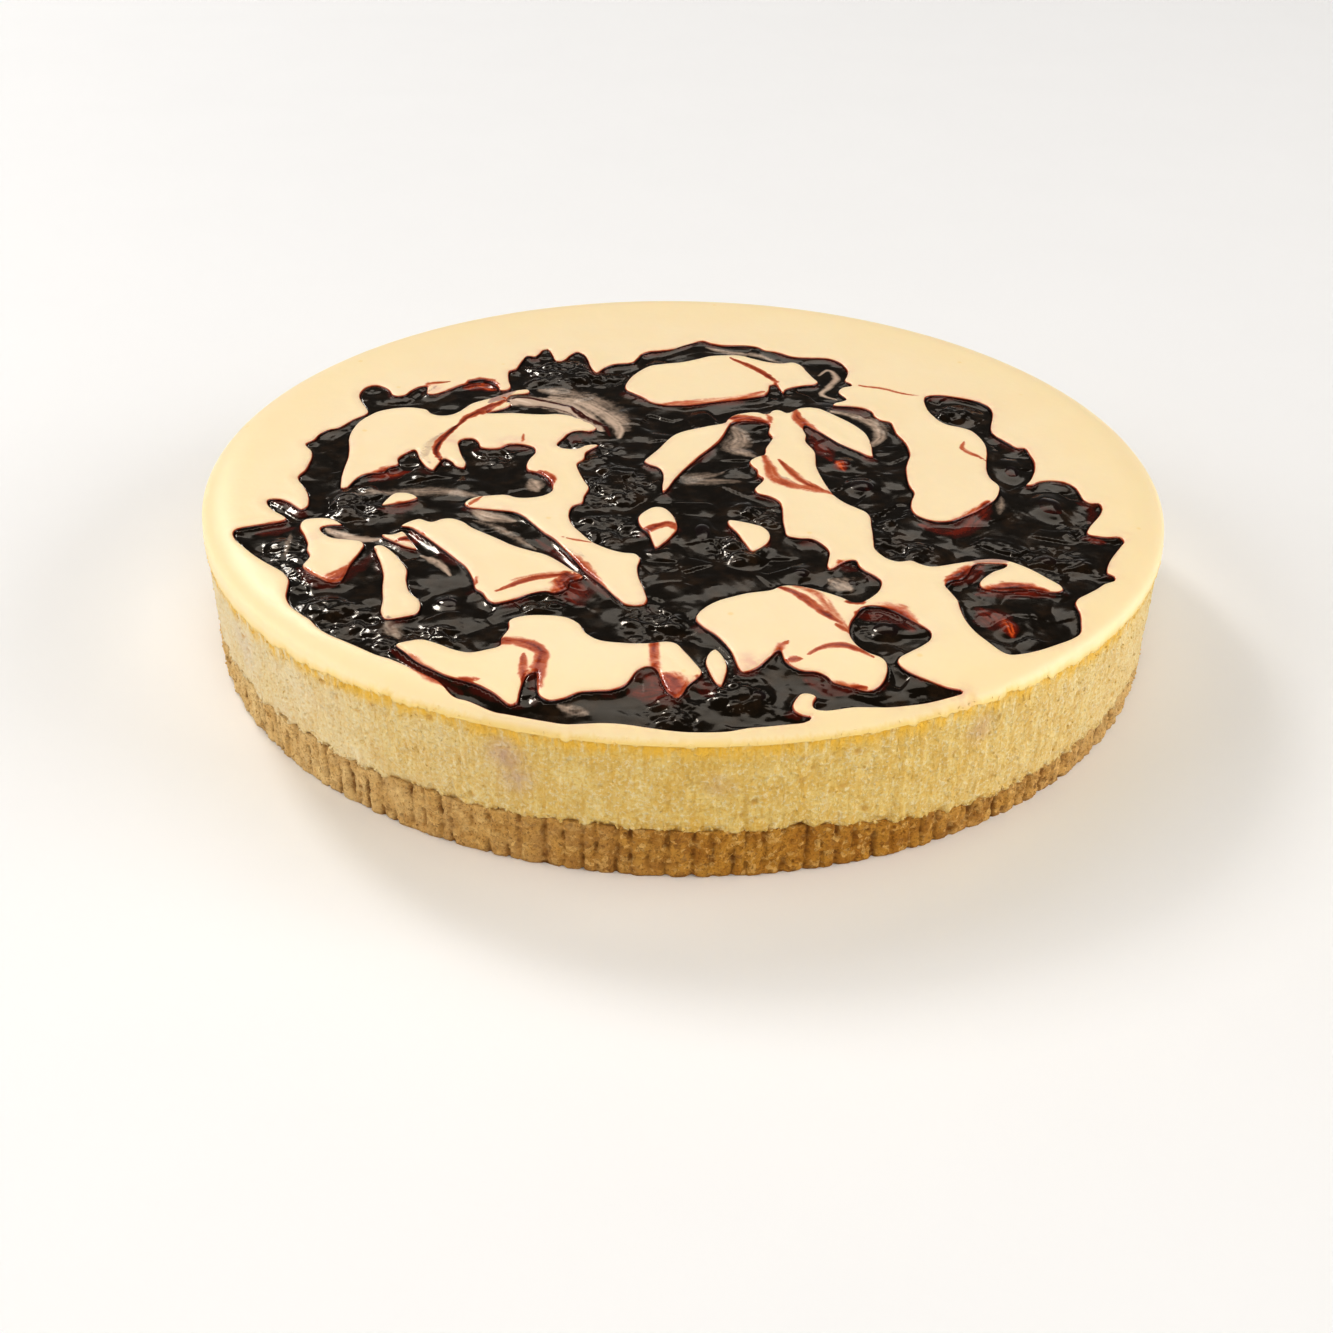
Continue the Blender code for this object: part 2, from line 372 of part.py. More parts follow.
class Shell:
    """A closed surface that is put together from flat-drawn caps and upright walls."""

    def __init__(self):
        self.points = []
        self.faces = []

    def add(self, points, faces):
        """Add points in millimetres and faces that count from them."""
        first = len(self.points)
        self.points += points
        self.faces += [tuple(first + i for i in face) for face in faces]

    def cap(self, outlines, height, inner=(), up=True):
        """Fill the area between the outlines, with inner points, at the height of each point."""
        flat = [Vector(point) for outline in outlines for point in outline] + [Vector(p) for p in inner]
        sides = []
        first = 0
        for outline in outlines:
            sides += [(first + i, first + (i + 1) % len(outline)) for i in range(len(outline))]
            first += len(outline)
        points, _, faces, *_ = delaunay_2d_cdt(flat, sides, [], 0, 1e-5)
        kept = []
        for face in faces:
            middle = sum((points[i] for i in face), Vector((0.0, 0.0))) / len(face)
            if crossings_left_of(middle, outlines) % 2:
                kept.append(tuple(face) if up else tuple(face)[::-1])
        self.add([(p.x, p.y, height(p.x, p.y)) for p in points], kept)

    def wall(self, lower, upper):
        """Join two rings of the same number of points; the material lies left of their direction."""
        count = len(lower)
        faces = []
        for i in range(count):
            j = (i + 1) % count
            faces.append((i, j, count + j))
            faces.append((i, count + j, count + i))
        self.add(list(lower) + list(upper), faces)

    def build(self, name, material):
        """Make the object, in metres, with the caps' and walls' shared edges joined."""
        mesh = bpy.data.meshes.new(name)
        mesh.from_pydata([tuple(value * MM for value in point) for point in self.points], [], self.faces)
        solid = bmesh.new()
        solid.from_mesh(mesh)
        bmesh.ops.remove_doubles(solid, verts=solid.verts, dist=2e-6)
        loose = [vert for vert in solid.verts if not vert.link_faces]
        bmesh.ops.delete(solid, geom=loose, context="VERTS")
        bmesh.ops.recalc_face_normals(solid, faces=solid.faces)
        solid.to_mesh(mesh)
        solid.free()
        mesh.materials.append(material)
        made = bpy.data.objects.new(name, mesh)
        bpy.context.scene.collection.objects.link(made)
        return made


def make_material(name, colour, roughness, coat=0.0):
    """A Principled material in one colour."""
    material = bpy.data.materials.new(name)
    material.use_nodes = True
    shader = material.node_tree.nodes["Principled BSDF"]
    shader.inputs["Base Color"].default_value = (*colour, 1.0)
    shader.inputs["Roughness"].default_value = roughness
    shader.inputs["Metallic"].default_value = 0.0
    shader.inputs["Coat Weight"].default_value = coat
    return material


def at_heights(outline, height):
    """Lift a flat outline: height is a number, a list or a function of x and y."""
    if callable(height):
        return [(x, y, height(x, y)) for x, y in outline]
    if isinstance(height, list):
        return [(x, y, z) for (x, y), z in zip(outline, height)]
    return [(x, y, height) for x, y in outline]


def base_edge_heights():
    """Height of the biscuit base at each side of its uneven outer edge."""
    return ragged_heights(5, BASE_EDGE_HEIGHTS, BASE_RAGGEDNESS)


def make_biscuit_base(material):
    """The pressed crumb base: a low drum with a pleated wall and an uneven upper edge."""
    draw = random.Random(11)
    columns = 2 * PLEATS
    edge = base_edge_heights()
    radii = []
    edge_at_column = []
    for column in range(columns):
        depth = PLEAT_DEPTH * draw.uniform(0.35, 1.0) if column % 2 else 0.0
        radii.append(FOOT_RADIUS - depth)
        place = column * RIM_SIDES / columns
        side = int(place)
        edge_at_column.append(edge[side] + (edge[(side + 1) % RIM_SIDES] - edge[side]) * (place - side))
    circle = ring(1.0, columns)
    foot_radii = [radius - BASE_CHAMFER for radius in radii]
    outer = [(x * radius, y * radius) for (x, y), radius in zip(circle, radii)]
    foot = [(x * radius, y * radius) for (x, y), radius in zip(circle, foot_radii)]
    flat = ring(BASE_FLAT_RADIUS, columns)
    shell = Shell()
    shell.cap([foot], lambda x, y: 0.0, up=False)
    shell.wall(at_heights(foot, 0.0), at_heights(outer, BASE_CHAMFER))
    shell.wall(at_heights(outer, BASE_CHAMFER), at_heights(outer, edge_at_column))
    shell.wall(at_heights(flat, BASE_HEIGHT), at_heights(outer, edge_at_column))
    shell.cap([flat], lambda x, y: BASE_HEIGHT)
    return shell.build("biscuit_base", material)


def pool_outlines():
    """Edge of the pool and of each cream island in it, counterclockwise."""
    return [closed_outline(POOL_EDGE)] + [closed_outline(island) for island in CREAM_ISLANDS.values()]


def make_filling(material):
    """The baked filling: a drum with a rolled rim, a torn lip and the hollow that holds the compote."""
    outlines = pool_outlines()
    top_edge = ring(TOP_EDGE_RADIUS, RIM_SIDES)
    inner = []
    for number, radius in enumerate(ROLL_RINGS):
        for point in ring(radius, RIM_SIDES // 2, 0.5 * (number % 2)):
            if crossings_left_of(point, outlines) % 2 == 0 and clear_of(point, outlines, GRID_CLEARANCE):
                inner.append(point)
    shell = Shell()
    shell.cap([top_edge] + outlines, baked_top, inner)
    for outline in outlines:
        shell.wall(at_heights(outline, HOLLOW_FLOOR), at_heights(outline, baked_top))
    shell.cap(outlines, lambda x, y: HOLLOW_FLOOR)

    lip = ragged_heights(3, LIP_HEIGHTS, LIP_RAGGEDNESS)
    under_lip = [height - LIP_THICKNESS for height in lip]
    underside = [height + BASE_EDGE_GAP for height in base_edge_heights()]
    widest = ring(CAKE_RADIUS, RIM_SIDES)
    recessed = ring(CAKE_RADIUS - LIP_OVERHANG, RIM_SIDES)
    middle = ring((CAKE_RADIUS - LIP_OVERHANG + FOOT_RADIUS) / 2.0, RIM_SIDES)
    foot = ring(FOOT_RADIUS, RIM_SIDES)
    flat = ring(BASE_FLAT_RADIUS, RIM_SIDES)
    levels = [
        at_heights(flat, BASE_HEIGHT + GAP),
        at_heights(foot, underside),
        at_heights(middle, SIDE_MIDDLE_HEIGHT),
        at_heights(recessed, under_lip),
        at_heights(widest, lip),
        at_heights(top_edge, baked_top),
    ]
    for lower, upper in zip(levels, levels[1:]):
        shell.wall(lower, upper)
    shell.cap([flat], lambda x, y: BASE_HEIGHT + GAP, up=False)
    return shell.build("cheesecake_filling", material)


def fruit_shape(name, place, grow, material=None):
    """One whole fruit, a slightly flattened ball, or the pocket for it when it is grown."""
    x, y, half_length, half_width, half_height, turn = place
    mesh = bpy.data.meshes.new(name)
    ball = bmesh.new()
    bmesh.ops.create_uvsphere(ball, u_segments=FRUIT_SIDES, v_segments=FRUIT_RINGS, radius=1.0)
    halves = (half_length, half_width, half_height)
    size = Matrix.Diagonal((*((half + grow) * MM for half in halves), 1.0))
    height = baked_top(x, y) - FRUIT_DEPTH
    seat = Matrix.Translation((x * MM, y * MM, height * MM))
    turned = Matrix.Rotation(math.radians(turn), 4, "Z")
    bmesh.ops.transform(ball, matrix=seat @ turned @ size, verts=ball.verts)
    ball.to_mesh(mesh)
    ball.free()
    if material:
        mesh.materials.append(material)
        mesh.shade_smooth()
    made = bpy.data.objects.new(name, mesh)
    bpy.context.scene.collection.objects.link(made)
    return made


def make_compote(material):
    """The compote: one pool, mounded on top, with a pocket for each whole fruit."""
    outlines = []
    for number, outline in enumerate(pool_outlines()):
        outlines.append(moved_outline(outline, GAP if number == 0 else -GAP))
    inner = []
    steps = int(CAKE_RADIUS / COMPOTE_GRID)
    for row in range(-steps, steps + 1):
        for column in range(-steps, steps + 1):
            point = ((column + 0.5 * (row % 2)) * COMPOTE_GRID, row * COMPOTE_GRID * math.sqrt(3.0) / 2.0)
            if crossings_left_of(point, outlines) % 2 and clear_of(point, outlines, GRID_CLEARANCE):
                inner.append(point)
    floor = HOLLOW_FLOOR + GAP
    shell = Shell()
    shell.cap(outlines, compote_top, inner)
    for outline in outlines:
        shell.wall(at_heights(outline, floor), at_heights(outline, compote_top))
    shell.cap(outlines, lambda x, y: floor, up=False)
    compote = shell.build("compote", material)

    pockets = bpy.data.collections.new("fruit_pockets")
    bpy.context.scene.collection.children.link(pockets)
    for number, place in enumerate(FRUITS, start=1):
        pocket = fruit_shape(f"pocket_{number:02d}", place, GAP)
        bpy.context.scene.collection.objects.unlink(pocket)
        pockets.objects.link(pocket)
        pocket.display_type = "WIRE"
        pocket.hide_render = True
    cut = compote.modifiers.new("fruit_pockets", "BOOLEAN")
    cut.operation = "DIFFERENCE"
    cut.operand_type = "COLLECTION"
    cut.collection = pockets
    cut.solver = "EXACT"
    return compote


def main():
    """Build every sub-part of the cake."""
    for old in list(bpy.data.objects):
        bpy.data.objects.remove(old, do_unlink=True)
    crumb = make_material("biscuit crumb", (0.50, 0.29, 0.10), 0.85)
    cream = make_material("baked cream", (0.90, 0.76, 0.45), 0.45)
    glaze = make_material("berry glaze", (0.020, 0.008, 0.005), 0.12, 0.6)
    skin = make_material("fruit skin", (0.030, 0.008, 0.006), 0.15, 0.6)
    make_biscuit_base(crumb)
    make_filling(cream)
    make_compote(glaze)
    for number, place in enumerate(FRUITS, start=1):
        fruit_shape(f"fruit_{number:02d}", place, 0.0, skin)


main()
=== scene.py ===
"""Looks of the baked cheesecake with a dark berry compote swirled into its top.

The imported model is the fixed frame. Every one of its solids is replaced by a finer piece of the same
form: the cream skin with its rounded lips, the crumb of the filling's side, the pleated biscuit base,
the wet compote and the whole fruits. Lengths are in millimetres until a mesh is made.
"""
from __future__ import annotations

import itertools
import json
import logging
import math
from dataclasses import dataclass, field
from enum import Enum
from typing import Callable, Sequence

import bmesh
import bpy
import numpy as np
from mathutils import Matrix, Vector
from mathutils.geometry import delaunay_2d_cdt

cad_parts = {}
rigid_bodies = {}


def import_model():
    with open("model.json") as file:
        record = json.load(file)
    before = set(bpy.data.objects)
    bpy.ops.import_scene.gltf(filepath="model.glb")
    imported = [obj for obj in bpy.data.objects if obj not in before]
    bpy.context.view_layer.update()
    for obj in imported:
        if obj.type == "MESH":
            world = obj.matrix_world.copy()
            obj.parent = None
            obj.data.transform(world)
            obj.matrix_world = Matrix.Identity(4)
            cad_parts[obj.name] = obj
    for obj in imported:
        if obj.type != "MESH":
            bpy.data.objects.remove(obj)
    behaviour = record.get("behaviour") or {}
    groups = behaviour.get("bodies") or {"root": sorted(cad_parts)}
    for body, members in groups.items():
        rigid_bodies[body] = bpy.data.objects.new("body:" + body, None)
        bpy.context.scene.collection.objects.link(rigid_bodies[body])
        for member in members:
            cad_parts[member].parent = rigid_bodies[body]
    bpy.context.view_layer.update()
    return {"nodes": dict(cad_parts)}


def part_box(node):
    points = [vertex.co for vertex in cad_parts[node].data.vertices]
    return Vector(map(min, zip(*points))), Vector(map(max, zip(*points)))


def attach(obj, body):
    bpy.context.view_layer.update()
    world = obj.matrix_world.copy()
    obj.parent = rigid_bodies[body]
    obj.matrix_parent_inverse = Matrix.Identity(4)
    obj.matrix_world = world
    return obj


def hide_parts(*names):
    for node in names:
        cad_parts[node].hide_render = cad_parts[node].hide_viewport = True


MM = 0.001
BODY = "root"
EDGE_ANGLES = 720
log = logging.getLogger("cheesecake")

Colour = tuple[float, float, float]


class Slot(Enum):
    """The record's material slots."""

    CRUMB = "biscuit_crumb"
    CREAM = "baked_cream"
    GLAZE = "berry_glaze"
    SKIN = "fruit_skin"


class Node(Enum):
    """The solids of the frame that have a name of their own."""

    BASE = "biscuit_base"
    FILLING = "cheesecake_filling"
    COMPOTE = "compote"


def srgb(red: float, green: float, blue: float) -> Colour:
    """Turn a colour in screen values from 0 to 255 into linear light.

    Args:
        red: Red, 0 to 255.
        green: Green, 0 to 255.
        blue: Blue, 0 to 255.

    Returns:
        The three linear values.
    """
    values = []
    for part in (red, green, blue):
        share = part / 255.0
        values.append(share / 12.92 if share <= 0.04045 else ((share + 0.055) / 1.055) ** 2.4)
    return tuple(values)


def smoothstep(low: float, high: float, value: np.ndarray) -> np.ndarray:
    """Ease from 0 at low to 1 at high.

    Args:
        low: Where the ease starts.
        high: Where it ends; it may be the smaller one.
        value: The values to ease.

    Returns:
        Shares from 0 to 1.
    """
    part = np.clip((value - low) / (high - low), 0.0, 1.0)
    return part * part * (3.0 - 2.0 * part)


class Grain:
    """Seeded noise on arrays of points, for relief that is real geometry."""

    def __init__(self, seed: int) -> None:
        """Draw the lattice.

        Args:
            seed: Fixes the pattern.
        """
        draw = np.random.RandomState(seed)
        self.table = draw.permutation(256)
        slopes = draw.normal(size=(256, 3))
        self.slopes = slopes / np.linalg.norm(slopes, axis=1)[:, None]
        self.spots = draw.uniform(0.0, 1.0, size=(256, 3))
        self.chances = draw.uniform(0.0, 1.0, size=256)

    def key(self, cell: np.ndarray) -> np.ndarray:
        """Number from 0 to 255 of each lattice cell."""
        first = self.table[cell[:, 0] & 255]
        second = self.table[(first + cell[:, 1]) & 255]
        return self.table[(second + cell[:, 2]) & 255]

    def soft(self, points: np.ndarray, size: float) -> np.ndarray:
        """Smooth noise, about -1 to 1.

        Args:
            points: Places, one row of three each.
            size: How far apart its hills are, in the points' unit.

        Returns:
            One value for each point.
        """
        place = points / size
        cell = np.floor(place).astype(int)
        part = place - cell
        ease = part**3 * (part * (part * 6.0 - 15.0) + 10.0)
        total = np.zeros(len(points))
        for corner in itertools.product((0, 1), repeat=3):
            slope = self.slopes[self.key(cell + corner)]
            weight = np.prod(np.where(np.array(corner) > 0, ease, 1.0 - ease), axis=1)
            total += weight * ((part - corner) * slope).sum(axis=1)
        return 1.6 * total

    def layered(self, points: np.ndarray, size: float, layers: int, keep: float = 0.5) -> np.ndarray:
        """Several sizes of smooth noise on top of each other.

        Args:
            points: Places, one row of three each.
            size: The largest size.
            layers: How many sizes, each half the one before.
            keep: How strong each size is next to the one before.

        Returns:
            One value for each point, about -1 to 1.
        """
        total = np.zeros(len(points))
        strength = 1.0
        for layer in range(layers):
            total += strength * self.soft(points + 17.3 * layer, size / 2.0**layer)
            strength *= keep
        return total

    def lumps(self, points: np.ndarray, size: float) -> tuple[np.ndarray, np.ndarray]:
        """Rounded lumps that crowd each other.

        Args:
            points: Places, one row of three each.
            size: How far apart the lumps' middles are.

        Returns:
            The height of the lumps, 0 to 1, and a chance from 0 to 1 drawn for each lump.
        """
        place = points / size
        cell = np.floor(place).astype(int)
        nearest = np.full(len(points), 9.0)
        chance = np.zeros(len(points))
        for step in itertools.product((-1, 0, 1), repeat=3):
            there = cell + step
            key = self.key(there)
            distance = np.linalg.norm(there + self.spots[key] - place, axis=1)
            closer = distance < nearest
            nearest = np.where(closer, distance, nearest)
            chance = np.where(closer, self.chances[key], chance)
        return np.clip(1.0 - nearest * nearest, 0.0, 1.0), chance


def reach_of(points: np.ndarray) -> np.ndarray:
    """Distance of points from the cake's axis."""
    return np.hypot(points[:, 0], points[:, 1])


def angle_of(points: np.ndarray) -> np.ndarray:
    """Angle of points round the cake's axis, in radians."""
    return np.arctan2(points[:, 1], points[:, 0])


def flat_points(points: np.ndarray) -> np.ndarray:
    """Points of a plan, x and y, with a third value of 0 for the noise."""
    return np.column_stack([points, np.zeros(len(points))])


def spline(points: np.ndarray, step: float, closed: bool) -> np.ndarray:
    """Points along a centripetal Catmull-Rom curve.

    Args:
        points: The points it passes through, x and y.
        step: Distance between the new points.
        closed: Whether it comes back to its start.

    Returns:
        The new points, without the start again where it is closed.
    """
    if closed:
        line = np.vstack([points[-1], points, points[0], points[1]])
    else:
        line = np.vstack([2.0 * points[0] - points[1], points, 2.0 * points[-1] - points[-2]])
    made = []
    for p0, p1, p2, p3 in zip(line, line[1:], line[2:], line[3:]):
        sides = ((p0, p1), (p1, p2), (p2, p3))
        knots = np.cumsum([0.0] + [math.sqrt(np.linalg.norm(b - a)) + 1e-6 for a, b in sides])
        count = max(1, round(float(np.linalg.norm(p2 - p1)) / step))
        for share in np.arange(count) / count:
            t = knots[1] + share * (knots[2] - knots[1])
            a1 = (p0 * (knots[1] - t) + p1 * (t - knots[0])) / (knots[1] - knots[0])
            a2 = (p1 * (knots[2] - t) + p2 * (t - knots[1])) / (knots[2] - knots[1])
            a3 = (p2 * (knots[3] - t) + p3 * (t - knots[2])) / (knots[3] - knots[2])
            b1 = (a1 * (knots[2] - t) + a2 * (t - knots[0])) / (knots[2] - knots[0])
            b2 = (a2 * (knots[3] - t) + a3 * (t - knots[1])) / (knots[3] - knots[1])
            made.append((b1 * (knots[2] - t) + b2 * (t - knots[1])) / (knots[2] - knots[1]))
    if not closed:
        made.append(points[-1])
    return np.array(made)


def beside_line(points: np.ndarray, line: np.ndarray) -> tuple[np.ndarray, np.ndarray]:
    """Where points lie beside an open line in plan.

    Args:
        points: Places, x and y.
        line: The line's points in order.

    Returns:
        The distances, positive on its left and negative on its right, and how far along the line each
        nearest place is, from 0 to 1.
    """
    best = np.full(len(points), 1e9)
    along = np.zeros(len(points))
    last = len(line) - 1
    for number, (start, end) in enumerate(zip(line, line[1:])):
        side = end - start
        gap = points - start
        share = np.clip((gap @ side) / max(float(side @ side), 1e-12), 0.0, 1.0)
        turn = np.where(side[0] * gap[:, 1] - side[1] * gap[:, 0] < 0.0, -1.0, 1.0)
        distance = np.linalg.norm(gap - share[:, None] * side, axis=1)
        closer = distance < np.abs(best)
        best = np.where(closer, turn * distance, best)
        along = np.where(closer, (number + share) / last, along)
    return best, along


def merged_points(node: bpy.types.Object) -> tuple[bmesh.types.BMesh, np.ndarray]:
    """A merged copy of a frame node's mesh.

    Args:
        node: The frame's object, which is left alone.

    Returns:
        The copy, to be freed by the caller, and its vertices in millimetres.
    """
    copy = bmesh.new()
    copy.from_mesh(node.data)
    bmesh.ops.remove_doubles(copy, verts=copy.verts, dist=1e-6)
    copy.normal_update()
    places = np.array([vert.co[:] for vert in copy.verts]) / MM
    return copy, places


def read_map(table: np.ndarray, grid: np.ndarray) -> np.ndarray:
    """Values of a square map between its nodes.

    Args:
        table: The map's values, one row for each y.
        grid: Places in cells from the map's corner, x and y.

    Returns:
        One value for each place.
    """
    grid = np.clip(grid, 0.0, table.shape[0] - 1.001)
    low = np.floor(grid).astype(int)
    part = grid - low
    c, r = low.T
    near = table[r, c] * (1.0 - part[:, 0]) + table[r, c + 1] * part[:, 0]
    far = table[r + 1, c] * (1.0 - part[:, 0]) + table[r + 1, c + 1] * part[:, 0]
    return near * (1.0 - part[:, 1]) + far * part[:, 1]


def turned_back(plan: np.ndarray, angle: float) -> np.ndarray:
    """Plan points in axes that are turned by an angle."""
    cos, sin = math.cos(angle), math.sin(angle)
    return np.column_stack([plan[:, 0] * cos + plan[:, 1] * sin, -plan[:, 0] * sin + plan[:, 1] * cos])


@dataclass(frozen=True)
class CakeForm:
    """The driving dimensions of the cake that the pieces share, in millimetres."""

    radius: float
    height: float
    top_edge_radius: float = 119.7
    roll_start: float = 111.0
    roll_drop: float = 4.0
    sag_depth: float = 1.2
    sag_start_y: float = -85.0
    sag_end_y: float = -115.0
    skin_room: float = 0.25
    lip_round: float = 0.9

    def baked_top(self, places: np.ndarray) -> np.ndarray:
        """Height of the cream's top.

        Args:
            places: Plan points, x and y.

        Returns:
            One height for each point: flat, settled at the front, rolling over at the rim.
        """
        span = self.radius - self.roll_start
        reach = np.clip((reach_of(places) - self.roll_start) / span, 0.0, 1.0)
        roll = self.roll_drop * (1.0 - np.sqrt(1.0 - reach * reach))
        sag = self.sag_depth * smoothstep(self.sag_start_y, self.sag_end_y, places[:, 1])
        return self.height - roll - sag


class PoolMap:
    """Where the compote lies: a map of distances to the cream's lips, positive on the cream."""

    def __init__(self, outlines: Sequence[np.ndarray], reach: float = 8.0, cell: float = 0.25,
                 half_width: float = 121.0) -> None:
        """Draw the map.

        Args:
            outlines: The lips as closed lines of plan points.
            reach: The largest distance that the map tells.
            cell: Distance between its nodes.
            half_width: How far it spreads from the middle.
        """
        self.outlines = outlines
        self.reach = reach
        self.cell = cell
        self.half_width = half_width
        self.count = int(2.0 * half_width / cell) + 1
        axis = np.arange(self.count) * cell - half_width
        distance = np.full((self.count, self.count), reach)
        parity = np.zeros((self.count, self.count + 1), int)
        for outline in outlines:
            for start, end in zip(outline, np.roll(outline, -1, axis=0)):
                self._near_side(distance, axis, start, end)
                self._crossings(parity, start, end)
        pool = np.cumsum(parity, axis=1)[:, : self.count] % 2 == 1
        self.distance = np.where(pool, -distance, distance)
        self.slope = np.gradient(self.distance, cell, axis=0)

    def _node(self, value: float) -> int:
        """Number of the first node at or after a coordinate."""
        return int(math.ceil((value + self.half_width) / self.cell))

    def _near_side(self, distance: np.ndarray, axis: np.ndarray, start: np.ndarray, end: np.ndarray) -> None:
        """Lower the map's distances round one side of a lip."""
        low = np.minimum(start, end) - self.reach
        high = np.maximum(start, end) + self.reach
        c0, r0 = (max(0, self._node(value)) for value in low)
        c1, r1 = (min(self.count, self._node(value)) for value in high)
        gx = axis[None, c0:c1] - start[0]
        gy = axis[r0:r1, None] - start[1]
        side = end - start
        share = np.clip((gx * side[0] + gy * side[1]) / max(float(side @ side), 1e-12), 0.0, 1.0)
        there = np.hypot(gx - share * side[0], gy - share * side[1])
        distance[r0:r1, c0:c1] = np.minimum(distance[r0:r1, c0:c1], there)

    def _crossings(self, parity: np.ndarray, start: np.ndarray, end: np.ndarray) -> None:
        """Count one side of a lip in each row that it crosses."""
        low, high = sorted((float(start[1]), float(end[1])))
        for row in range(self._node(low), self._node(high)):
            y = row * self.cell - self.half_width
            x = start[0] + (y - start[1]) * (end[0] - start[0]) / (end[1] - start[1])
            parity[row, min(self.count, max(0, self._node(float(x))))] += 1

    def _read(self, table: np.ndarray, places: np.ndarray) -> np.ndarray:
        """Value of a table of the map at plan points."""
        return read_map(table, (places + self.half_width) / self.cell)

    def at(self, places: np.ndarray) -> np.ndarray:
        """Distance to the nearest lip, positive on the cream and negative in the pool.

        Args:
            places: Plan points, x and y.

        Returns:
            One distance for each point.
        """
        return self._read(self.distance, places)

    def facing(self, places: np.ndarray) -> np.ndarray:
        """How far the nearest lip faces the front of the cake.

        Args:
            places: Plan points, x and y.

        Returns:
            1 where the lip's wall faces the front, -1 where it faces the back.
        """
        return np.clip(self._read(self.slope, places), -1.0, 1.0)

    def cream(self, places: np.ndarray) -> np.ndarray:
        """Whether plan points lie on the cream, counted exactly beside the lips.

        Args:
            places: Plan points, x and y.

        Returns:
            One truth for each point.
        """
        distance = self.at(places)
        found = distance > 0.0
        close = np.flatnonzero(np.abs(distance) < 0.8)
        x, y = places[close].T
        odd = np.zeros(len(close), bool)
        for outline in self.outlines:
            for start, end in zip(outline, np.roll(outline, -1, axis=0)):
                row = np.flatnonzero((start[1] > y) != (end[1] > y))
                reach = start[0] + (y[row] - start[1]) * (end[0] - start[0]) / (end[1] - start[1] + 1e-30)
                odd[row] ^= x[row] < reach
        found[close] = ~odd
        return found


class Film(Enum):
    """What a stroke is made of."""

    RED = "thin clear compote"
    # Over the cream these strokes are milky film; over the compote many of them are painted sheen, pale
    # patches that stand in for reflections of the lights on the glaze.
    MILK_AND_SHEEN = "compote stirred with cream"


STREAKS = Grain(77)


@dataclass(frozen=True)
class Stroke:
    """A brushed streak of thin or milky compote, over the cream and over the pool alike; on the pool some
    milky streaks are painted sheen.
    """

    points: tuple[tuple[float, float], ...]
    width: float
    amount: float = 0.6
    film: Film = Film.RED
    taper: bool = True
    streak_length: float = 7.0
    streak_width: float = 0.8

    def line(self, step: float = 1.0) -> np.ndarray:
        """Points along the stroke's middle."""
        return spline(np.array(self.points, float), step, closed=False)

    def at(self, places: np.ndarray) -> np.ndarray:
        """How strong the stroke is at plan points.

        Args:
            places: Plan points, x and y.

        Returns:
            One strength for each point, streaked along the stroke.
        """
        line = self.line()
        low = line.min(axis=0) - self.width
        high = line.max(axis=0) + self.width
        near = np.flatnonzero(np.all((places > low) & (places < high), axis=1))
        strength = np.zeros(len(places))
        if not len(near):
            return strength
        offset, along = beside_line(places[near], line)
        narrow = 1.0 - (0.7 * np.abs(2.0 * along - 1.0) ** 2.0 if self.taper else 0.0 * along)
        length = float(np.linalg.norm(np.diff(line, axis=0), axis=1).sum())
        brushed = np.column_stack([along * length / self.streak_length, offset / self.streak_width,
                                   np.full(len(near), 3.7 * line[0, 0])])
        streaks = STREAKS.layered(brushed, 1.0, 2, 0.6)
        edge = 1.0 + 0.25 * STREAKS.soft(flat_points(places[near]), 2.0)
        profile = smoothstep(1.4, 0.15, np.abs(offset) / (0.5 * self.width * narrow * edge + 1e-6))
        strength[near] = self.amount * profile * np.clip(0.85 + 0.4 * streaks, 0.0, 1.4)
        return strength


def film_at(strokes: Sequence[Stroke], film: Film, places: np.ndarray) -> np.ndarray:
    """The strongest stroke of one film at each plan point."""
    strength = np.zeros(len(places))
    for stroke in strokes:
        if stroke.film is film:
            strength = np.maximum(strength, stroke.at(places))
    return strength
